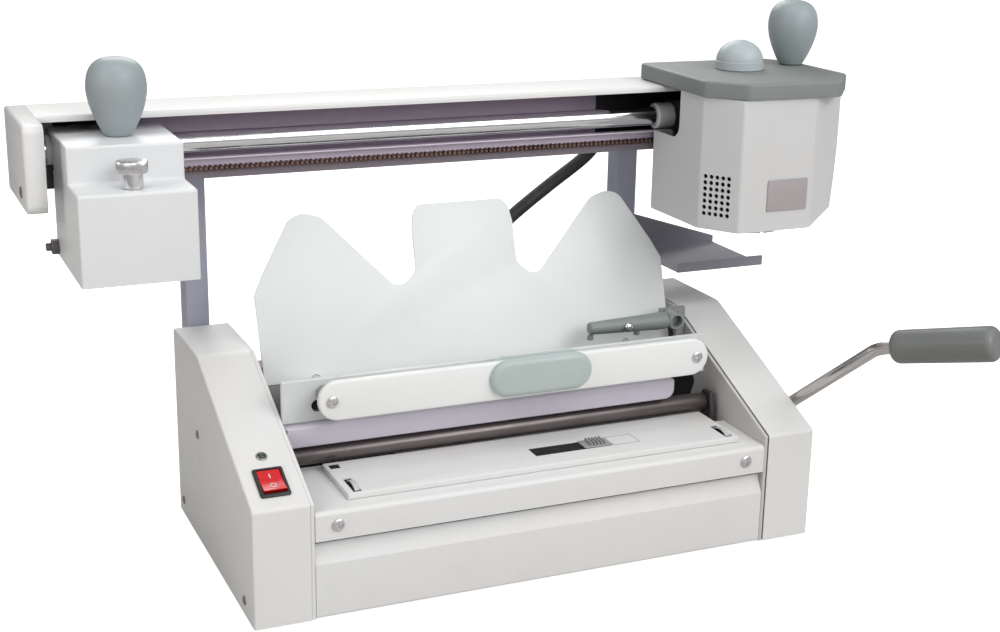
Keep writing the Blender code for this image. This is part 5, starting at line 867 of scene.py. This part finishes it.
def make_chain():
    """Links as rings of one shape: each is a pair of waisted side plates and a pin between
    them, repeated along x at half the pitch of the frame's toothed strip.
    """
    low, high = box("roller_chain")
    pitch, thick, sides = 4, 0.7, 12
    tall, centre_height = (high[2] - low[2]) / 2, (high[2] + low[2]) / 2
    turn = circle(sides)
    waisted = turn * np.stack([np.full(sides, pitch * 0.4), tall * (0.62 + 0.3 * turn[:, 0] ** 2)], -1)
    plates, pins = [], []
    for index in range(int((high[0] - low[0]) / pitch)):
        place = [low[0] + (index + 0.5) * pitch, centre_height]
        shift = thick * 1.1 if index % 2 else 0.0
        for near in (low[1] + 0.3 + shift, high[1] - thick - shift):
            plates += [lay(waisted + place, "xz", near), lay(waisted + place, "xz", near + thick)]
        pins += [lay(turn * tall * 0.24 + place, "xz", y) for y in (low[1] + HAIR / 2, high[1] - HAIR)]
    for name, rings, finish, replaces in (("chain_links", plates, chain_metal, "roller_chain"),
                                          ("chain_pins", pins, pin_metal, None)):
        faces = []
        for start in range(0, len(rings) * sides, 2 * sides):
            faces += flipped(grid_faces(2, sides, start=start) + end_caps(2, sides, start))
        add_piece(name, np.vstack(rings), faces, finish, "frame", replaces, sharp=40)


# Half width and height of the knobs' outline, as shares of the whole
KNOB_SHAPE = [(0.43, 0.0), (0.49, 0.02), (0.53, 0.05), (0.605, 0.1), (0.725, 0.2), (0.84, 0.31), (0.93, 0.42),
              (0.985, 0.53), (1.0, 0.62), (0.985, 0.70), (0.94, 0.785), (0.85, 0.865), (0.69, 0.935),
              (0.47, 0.98), (0.23, 0.998), (0.02, 1.0)]


def make_knob(name, node, body, grow=0.0):
    """The knobs' profile drawn smooth, stretched to the box of a CAD node and turned about z."""
    low, high = box(node)
    path = smooth_path(KNOB_SHAPE, 4)
    path[:, 0] = np.clip(path[:, 0], 0.01, 1)
    turned(name, path * [(high[0] - low[0]) / 2 + grow, high[2] - low[2]], (*middle(node)[:2], low[2]), Z,
           grip_plastic, body, node, sides=96, sharp=60)


def make_glue():
    """Glue carriage: stepped cover, knob, thumb screw, side stud and the roller below."""
    low, high = box("glue_cover")
    front, step_depth, back, top_back = 57.3, 97, 165, 190
    step, top, bottom = 315.6, high[2], low[2]
    corners = [(front, bottom), (front, step), (step_depth, step), (step_depth, top), (top_back, top),
               (top_back, step), (back, step), (back, bottom)]
    path = fillet(corners, [0, 2.1, 1.5, 2.1, 2.1, 2.1, 0.5, 0], 6, closed=False)
    skin = cover("glue_cover_skin", path, "yz", low[0], high[0], SHEET, 1.4, cool_paint, "glue_carriage",
                 "glue_cover", both=True)
    rail_room = 12
    cut_block(skin, (low[0] - 5, rail_centre[1] - rail_room, step - 2),
              (high[0] + 5, rail_centre[1] + rail_room, rail_centre[2] + 11.4))
    axle = middle("glue_roller")
    drill(skin, (axle[0], back, axle[2]), Y, 6, 4.5)
    make_knob("glue_knob_grip", "glue_knob", "glue_carriage", 0.6)
    x, y, _ = middle("thumb_screw")
    drill(skin, (x, y, step), Z, 5, 3.5)
    base = (x, y, step + 0.3)
    turned("thumb_neck", [(3, -8), (3, 0), (7.2, 0), (7.5, 0.4), (7.5, 10.2)], base, Z, chrome,
           "thumb_wheel", "thumb_screw", sides=48)
    shape = [(8.5, 10.4), (10.3, 10.8), (10.8, 11.6), (10.8, 18.2), (10.3, 19.0), (8.6, 19.4), (5, 19.4)]
    turned("thumb_head", shape, base, Z, screw_metal, "thumb_wheel", sides=240, waves=48, depth=0.018)
    right = box("side_stud")[1][0]
    _, y, z = middle("side_stud")
    turned("stud_nut", [(5.9, 0), (6.0, 0.4), (6.0, 4.4), (5.4, 5.0)], (right, y, z), -X, dark_steel_and_shade,
           "glue_carriage", "side_stud", sides=6)
    turned("stud_shank", [(3, 0), (3, 8.0), (2.4, 8.8)], (right - 0.2, y, z), -X, dark_steel_and_shade,
           "glue_carriage", sides=32)
    low, high = box("glue_roller")
    front, back = 71, 153
    turned("roller_drum", bar(24, back - front, 0.8), (axle[0], front, axle[2]), Y, steel, "roller_set",
           "glue_roller")
    for index, (start, end) in enumerate(((low[1], front - HAIR), (back + HAIR, high[1]))):
        turned(f"roller_axle_{index}", [(3.8, 0), (4, 0.2), (4, end - start)], (axle[0], start, axle[2]), Y,
               steel, "roller_set", sides=32)


def head_skin():
    """The head's cover: an outline with three chamfers carried up as two walls. Towards the right
    its lower edge rises as a power of the way across, and its foot leans in.
    """
    low, high = box("head_cover")
    left, right = low[0], high[0] + 2.6
    front, chamfer, back, chamfer_left, chamfer_right = 57, 87.5, 168, 422, 490
    corners = [(left, chamfer), (chamfer_left, front), (chamfer_right, front), (right, chamfer),
               (530, back), (left, back)]
    outline = anticlockwise(fillet(corners, [4, 4, 6, 6, 2, 2], 6))
    rows, count, rise_start, rise, lean_height, lean_reach, power = 30, len(outline), 488, 9, 70, 4, 1.6
    walls = []
    for drawn in (0.0, SHEET):
        ring = inset(outline, drawn)
        share = np.clip((ring[:, 0] - rise_start) / (right - rise_start), 0, 1)
        floor = low[2] + rise * share ** power
        height = floor + (high[2] - floor) * np.linspace(0, 1, rows)[:, None]
        lean = np.clip(1 - (height - low[2]) / lean_height, 0, 1) ** power
        wall = lay(np.broadcast_to(ring, (rows, count, 2)), "xy", height)
        wall[..., 0] -= lean_reach * share * lean
        walls.append(wall)
    last, shift = (rows - 1) * count, rows * count
    faces = grid_faces(rows, count) + flipped(grid_faces(rows, count, start=shift))
    for i in range(count):
        j = (i + 1) % count
        faces += [[j, i, i + shift, j + shift], [last + i, last + j, last + j + shift, last + i + shift]]
    skin = add_piece("head_cover_skin", np.concatenate(walls), faces, head_paint, "milling_head",
                     "head_cover")
    notch = anticlockwise(fillet(rectangle(124, 316, back + 6, high[2] + 5), [11, 0, 0, 0], 8))
    notch = [lay(notch, "yz", x) for x in (left - 5, right + 5)]
    cut(skin, np.vstack(notch), grid_faces(2, len(notch[0])) + end_caps(2, len(notch[0])))

    start, end = np.array([left, chamfer, 0]), np.array([chamfer_left, front, 0])
    along = (end - start) / np.linalg.norm(end - start)
    outward = np.cross(along, Z)
    lowest_row, pitch, row_height = 261.5, 5.2, 5.1
    first_vent = (start + end) / 2 - along * pitch / 2 - outward + (0, 0, lowest_row)
    vents = [first_vent + along * (column - 2) * pitch + (0, 0, row * row_height)
             for row in range(7) for column in range(5)]
    drill(skin, vents, outward, 4, 1.8, 18)
    # A black sheet behind the vents is painted shade.
    start, end = (start + along * 4 - outward * 3)[:2], (end - along * 3 - outward * 3)[:2]
    behind = outward[:2] * 0.4
    slab("vent_shade", [start, end, end - behind, start - behind], "xy", low[2] + 6, low[2] + 54, 0.02,
         black_and_hole_shade, "milling_head")


def make_head():
    """Milling head: cover, sleeve on the rail, lid, dome, knob, bare small plate and motor."""
    head_skin()
    ring_left = box("head_bearing")[0][0]
    for name, start, shape, finish in (
            ("head_bushing", 0, [(10.3, 0), (10.9, 0.6), (10.9, 15), (8.4, 15), (8.4, 0)], light_plastic),
            ("head_boot", 15.1, [(12.6, 0), (13.2, 0.6), (13.2, 2.6), (8.4, 2.6), (8.4, 0)], black_and_hole_shade)):
        turned(name, shape, (ring_left + start, *rail_centre[1:]), X, finish, "milling_head", ring=True)

    low, high = box("head_lid")
    plan = [(399, 84), (424, 55), (510, 53), (538, 88), (538, 170), (522, 194), (402, 198)]
    slab("head_lid_skin", fillet(plan, [7, 8, 9, 9, 12, 9, 5], 8), "xy", low[2], high[2], 0.8, lid_plastic,
         "milling_head", "head_lid", 5, 2.2)
    low, high = box("motor_cap")
    # The dome is half an ellipse, set in by a small step from the short wall under it
    radius, tall = (high[0] - low[0]) / 2, high[2] - low[2]
    wall, step = tall * 0.27, 0.7
    dome = [(radius - 0.4, 0), (radius, 0.4), (radius, wall), (radius - step, wall + 0.25)]
    dome += [((radius - step) * math.cos(a) + 0.01, wall + 0.3 + (tall - wall - 0.3) * math.sin(a))
             for a in np.linspace(0, math.pi / 2, 20)[1:]]
    turned("motor_dome", dome, (*middle("motor_cap")[:2], low[2]), Z, dome_plastic, "milling_head",
           "motor_cap", sides=96, sharp=35)
    make_knob("head_knob_grip", "head_knob", "milling_head")
    low, high = box("label_plate")
    slab("label_plate_skin", fillet(rectangle(low[0], low[2], high[0], high[2]), 1.2), "xz", low[1], high[1],
         0.2, label_metal, "milling_head", "label_plate")
    low, high = box("milling_motor")
    radius, tall = (high[0] - low[0]) / 2, high[2] - low[2]
    turned("motor_can", [(7, 0)] + bar(radius, tall, 2), (*middle("milling_motor")[:2], low[2]), Z,
           dark_coat_and_shade, "milling_head", "milling_motor")


def pill_box(half_x, half_y, radius):
    """Rounded rectangle round the origin, anticlockwise."""
    return anticlockwise(fillet(rectangle(-half_x, -half_y, half_x, half_y), radius, 5))


def make_switch():
    """Bezel, rocker with its two plain marks, and the lamp above it."""
    x, reach, crest = 21.5, [0, 2.4, 6.5, 11.4], [1.6, 1.68, 2.05, 2.8]
    centre = on_slope(x, 24.2, 0.3)
    put_level, put_tipped = tilted(centre, SLOPE_ANGLE), tilted(centre, SLOPE_ANGLE - math.radians(7))
    outer, inner = pill_box(11.2, 14.35, 1.6), pill_box(8.95, 12.1, 0.8)
    rim = [(outer, 0.0), (outer, 1.3), (inset(outer, 0.7), 2.0), (inner, 2.0), (inner, -1.0),
           (inset(outer, 1.6), -1.0), (inset(outer, 1.6), 0.0)]
    points = np.array([lay(ring, "xy", height) for ring, height in rim])
    faces = grid_faces(len(rim), len(outer)) + loop_faces(len(rim), len(outer))
    add_piece("bezel_frame", put_level(points), faces, black_plastic, "frame", "switch_bezel")
    section = [(-11.4, 2.8), (-8, -5), (8, -5), (11.4, 2.8), (6.5, 2.05), (2.4, 1.68), (0, 1.6),
               (-2.4, 1.68), (-6.5, 2.05)]
    slab("rocker_key", section, "yz", -8.6, 8.6, 0.4, switch_red, "power_rocker", "rocker", put=put_tipped)
    # The ring mark is a small circle swept round a flattened one, lifted to the key's face
    rings, sides = 8, 48
    small = circle(rings)
    flat = circle(sides) * (1, 1.1) * 2.1 * (1 + 0.17 * small[:, 0])[:, None, None] + [0, -5.4]
    lift = np.interp(np.abs(flat[..., 1]), reach, crest) + 0.2 + 0.16 * small[:, 1:]
    add_piece("off_mark", put_tipped(lay(flat, "xy", lift)),
              grid_faces(rings, sides) + loop_faces(rings, sides),
              mark_white, "power_rocker")
    flat = np.array([(-0.4, 3.4), (0.4, 3.4), (0.4, 5.4), (0.4, 7.6), (-0.4, 7.6), (-0.4, 5.4)])
    lift = np.interp(np.abs(flat[:, 1]), reach, crest)
    points = np.array([lay(flat, "xy", lift - 0.2), lay(flat, "xy", lift + 0.2)])
    add_piece("on_mark", put_tipped(points), grid_faces(2, 6) + end_caps(2, 6),
              mark_white, "power_rocker", smooth=False)
    lamp, out = on_slope(x, 49.8, 0.2), tilted((0, 0, 0), SLOPE_ANGLE)(Z)
    turned("lamp_collar", [(4.2, 0), (4.2, 0.5), (3.8, 0.9), (2.9, 0.9), (2.7, 0.5), (2.7, 0)], lamp, out,
           dark_screw, sides=40, ring=True)
    turned("lamp_lens", [(2.65, 0), (2.65, 0.7), (2.1, 1.3), (1.1, 1.7), (0.05, 1.8)], lamp, out, lamp_green,
           "frame", "indicator_lamp", sides=32, sharp=60)


def make_conduit():
    """The black hose: a tube along a smooth curve through the points of its route, from the rear
    deck to the beam.
    """
    route = np.array([(245, 230.6, 132), (246, 231.7, 150), (254, 235.1, 178), (274, 238.4, 208),
                      (303, 239, 233), (338, 239, 258), (372, 239, 281), (387, 238.4, 298),
                      (391, 235.6, 309), (391, 231.7, 313)])
    start = np.array([*route[0][:2], box("conduit")[0][2]])
    end = np.array([route[-1][0], box("upper_gland")[0][1], route[-1][2]])
    line = np.vstack([start, (start + route[0]) / 2, smooth_path(route, 16), (route[-1] + end) / 2, end])
    tube("conduit_hose", line, 5.7, hose_black, "frame", "conduit", sides=24)


def make_inlet():
    low, (x, _, z) = box("power_inlet")[0], middle("power_inlet")
    for index, (across, up) in enumerate(((0, 4), (-6, -3), (6, -3))):
        turned(f"inlet_pin_{index}", [(1.4, 0), (1.4, 5), (1.0, 5.6)], (x + across, low[1] + 3.1, z + up), Y,
               screw_metal, sides=16)


KEPT = {
    paint: ("left_frame_plate", "beam_right_cap"), shaded_wall_paint: ("right_frame_plate",),
    # Dark steel on these parts is painted shade in the well behind the jaw.
    dark_steel_and_shade: ("book_bed", "rear_crossbar", "left_press_arm", "right_press_arm"),
    dark_coat_and_shade: ("control_box",), shaded_bracket_coat: ("gauge_bracket",),
    black_plastic: ("power_inlet", "lower_gland", "upper_gland", "head_bearing"),
    blue_paint: ("left_post", "right_post"), channel_shade_paint: ("chain_strip",), tray_paint: ("chip_tray",),
    jaw_paint: ("clamp_jaw",), aluminium: ("glue_bearing", "glue_tank"),
    steel: ("sprocket", "cutter_disc"),
}


def finish_kept_nodes():
    """CAD nodes whose shape is right get their finish and softened edges."""
    for finish, names in KEPT.items():
        for name in names:
            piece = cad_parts[name]
            piece.data.materials.clear()
            piece.data.materials.append(finish)
            piece.modifiers.new("weld", "WELD").merge_threshold = 0.01 * MM
            edge = piece.modifiers.new("edges", "BEVEL")
            edge.width = 0.45 * MM
            edge.segments = 2
            edge.limit_method = "ANGLE"
            edge.angle_limit = math.radians(32)
            edge.harden_normals = False


# Room, in metres

WORLD_LIGHT = 0.29
GLOSSY_WORLD = 0.5
FLOOR_GLOW = 0.95
WHITE = (1, 1, 1)
LAMPS = [
    ("key_lamp", (1.3, -1.5, 1.8), (0, 0, 0.15), (1.5, 1.2), 17, (1, 0.995, 0.985)),
    ("front_lamp", (0.5, -2.3, 1.4), (0, 0, 0.2), (1.8, 1.2), 22.5, WHITE),
    ("top_lamp", (-0.3, -0.3, 2.4), (0, 0, 0.2), (1.8, 1.4), 14, WHITE),
    ("left_lamp", (-1.0, -0.35, 0.75), (-0.4, -0.05, 0.3), (0.4, 0.4), 2.3, (1, 0.965, 0.93)),
    ("back_lamp", (0.4, 2.0, 1.6), (0, 0, 0.2), (1.6, 1.0), 24, WHITE),
]


def stand(name, data, side, up, back, place):
    """Put a lamp or camera in the scene, facing against its back axis."""
    thing = bpy.data.objects.new(name, data)
    bpy.context.scene.collection.objects.link(thing)
    matrix = np.eye(4)
    matrix[:3] = np.stack([side, up, back, place], 1)
    thing.matrix_world = Matrix(matrix.tolist())
    return thing


def make_floor():
    """Floor that curves up into a backdrop and glows white for the camera alone."""
    finish = Finish("studio_floor", (0.58, 0.565, 0.55), roughness=0.95)
    rays = finish.node("ShaderNodeLightPath")
    finish.put(finish.shader, {"Emission Strength": Sum(finish, rays.outputs["Is Camera Ray"]) * FLOOR_GLOW,
                               "Emission Color": (*WHITE, 1)})
    angle = np.linspace(0, math.pi / 2, 13)
    front, depth, radius, height, half_width = -8.0, 4.5, 2.0, 8.0, 9
    curve = np.stack([depth + radius * np.sin(angle), radius * (1 - np.cos(angle))], -1)
    run = np.vstack([(front, 0), curve, (depth + radius, height)])
    spread = np.linspace(-half_width, half_width, 25)
    points = lay(np.broadcast_to(run[:, None], (len(run), len(spread), 2)), "yz", spread)
    floor = new_object("studio_floor", points.reshape(-1, 3), grid_faces(len(run), len(spread), wrap=False))
    floor.data.shade_smooth()
    floor.data.materials.append(finish.material)


def make_light():
    """A world that is white to the camera and grey to the object, and soft lamps."""
    world = bpy.data.worlds.new("studio")
    bpy.context.scene.world = world
    world.use_nodes = True
    nodes, join = world.node_tree.nodes, world.node_tree.links.new
    background, rays = nodes["Background"], nodes.new("ShaderNodeLightPath")
    grey, white = nodes.new("ShaderNodeMapRange"), nodes.new("ShaderNodeMapRange")
    grey.inputs["To Min"].default_value = WORLD_LIGHT
    grey.inputs["To Max"].default_value = GLOSSY_WORLD
    join(rays.outputs["Is Glossy Ray"], grey.inputs["Value"])
    join(rays.outputs["Is Camera Ray"], white.inputs["Value"])
    join(grey.outputs["Result"], white.inputs["To Min"])
    join(white.outputs["Result"], background.inputs["Strength"])
    background.inputs["Color"].default_value = (*WHITE, 1)
    for name, place, aim, size, power, tint in LAMPS:
        data = bpy.data.lights.new(name, "AREA")
        data.shape = "RECTANGLE"
        data.size, data.size_y = size
        data.energy = power
        data.color = tint
        stand(name, data, *axis_frame(np.subtract(place, aim)), place)


def make_camera():
    """Camera of the photograph: a lens of f pixels on a 1000 pixel wide picture."""
    focal_pixels, width_pixels, sensor = 1597, 1000, 36
    data = bpy.data.cameras.new("photo_camera")
    data.sensor_width = sensor
    data.lens = focal_pixels / width_pixels * sensor
    data.clip_start, data.clip_end = 0.05, 50
    right, up, back = (0.91755, -0.39730, 0.01673), (0.09815, 0.26705, 0.95867), (-0.38538, -0.87795, 0.28402)
    place = metres((-258.6, -1018.1, 548.4))[0]
    bpy.context.scene.camera = stand("photo_camera", data, right, up, back, place)


for make in (make_housings, make_base, make_platform, make_press, make_clamp, make_back_plate, make_gauge,
             make_beam, make_chain, make_glue, make_head, make_switch, make_conduit, make_inlet,
             finish_kept_nodes, make_floor, make_light, make_camera):
    make()
bpy.context.scene.view_settings.view_transform = "Standard"
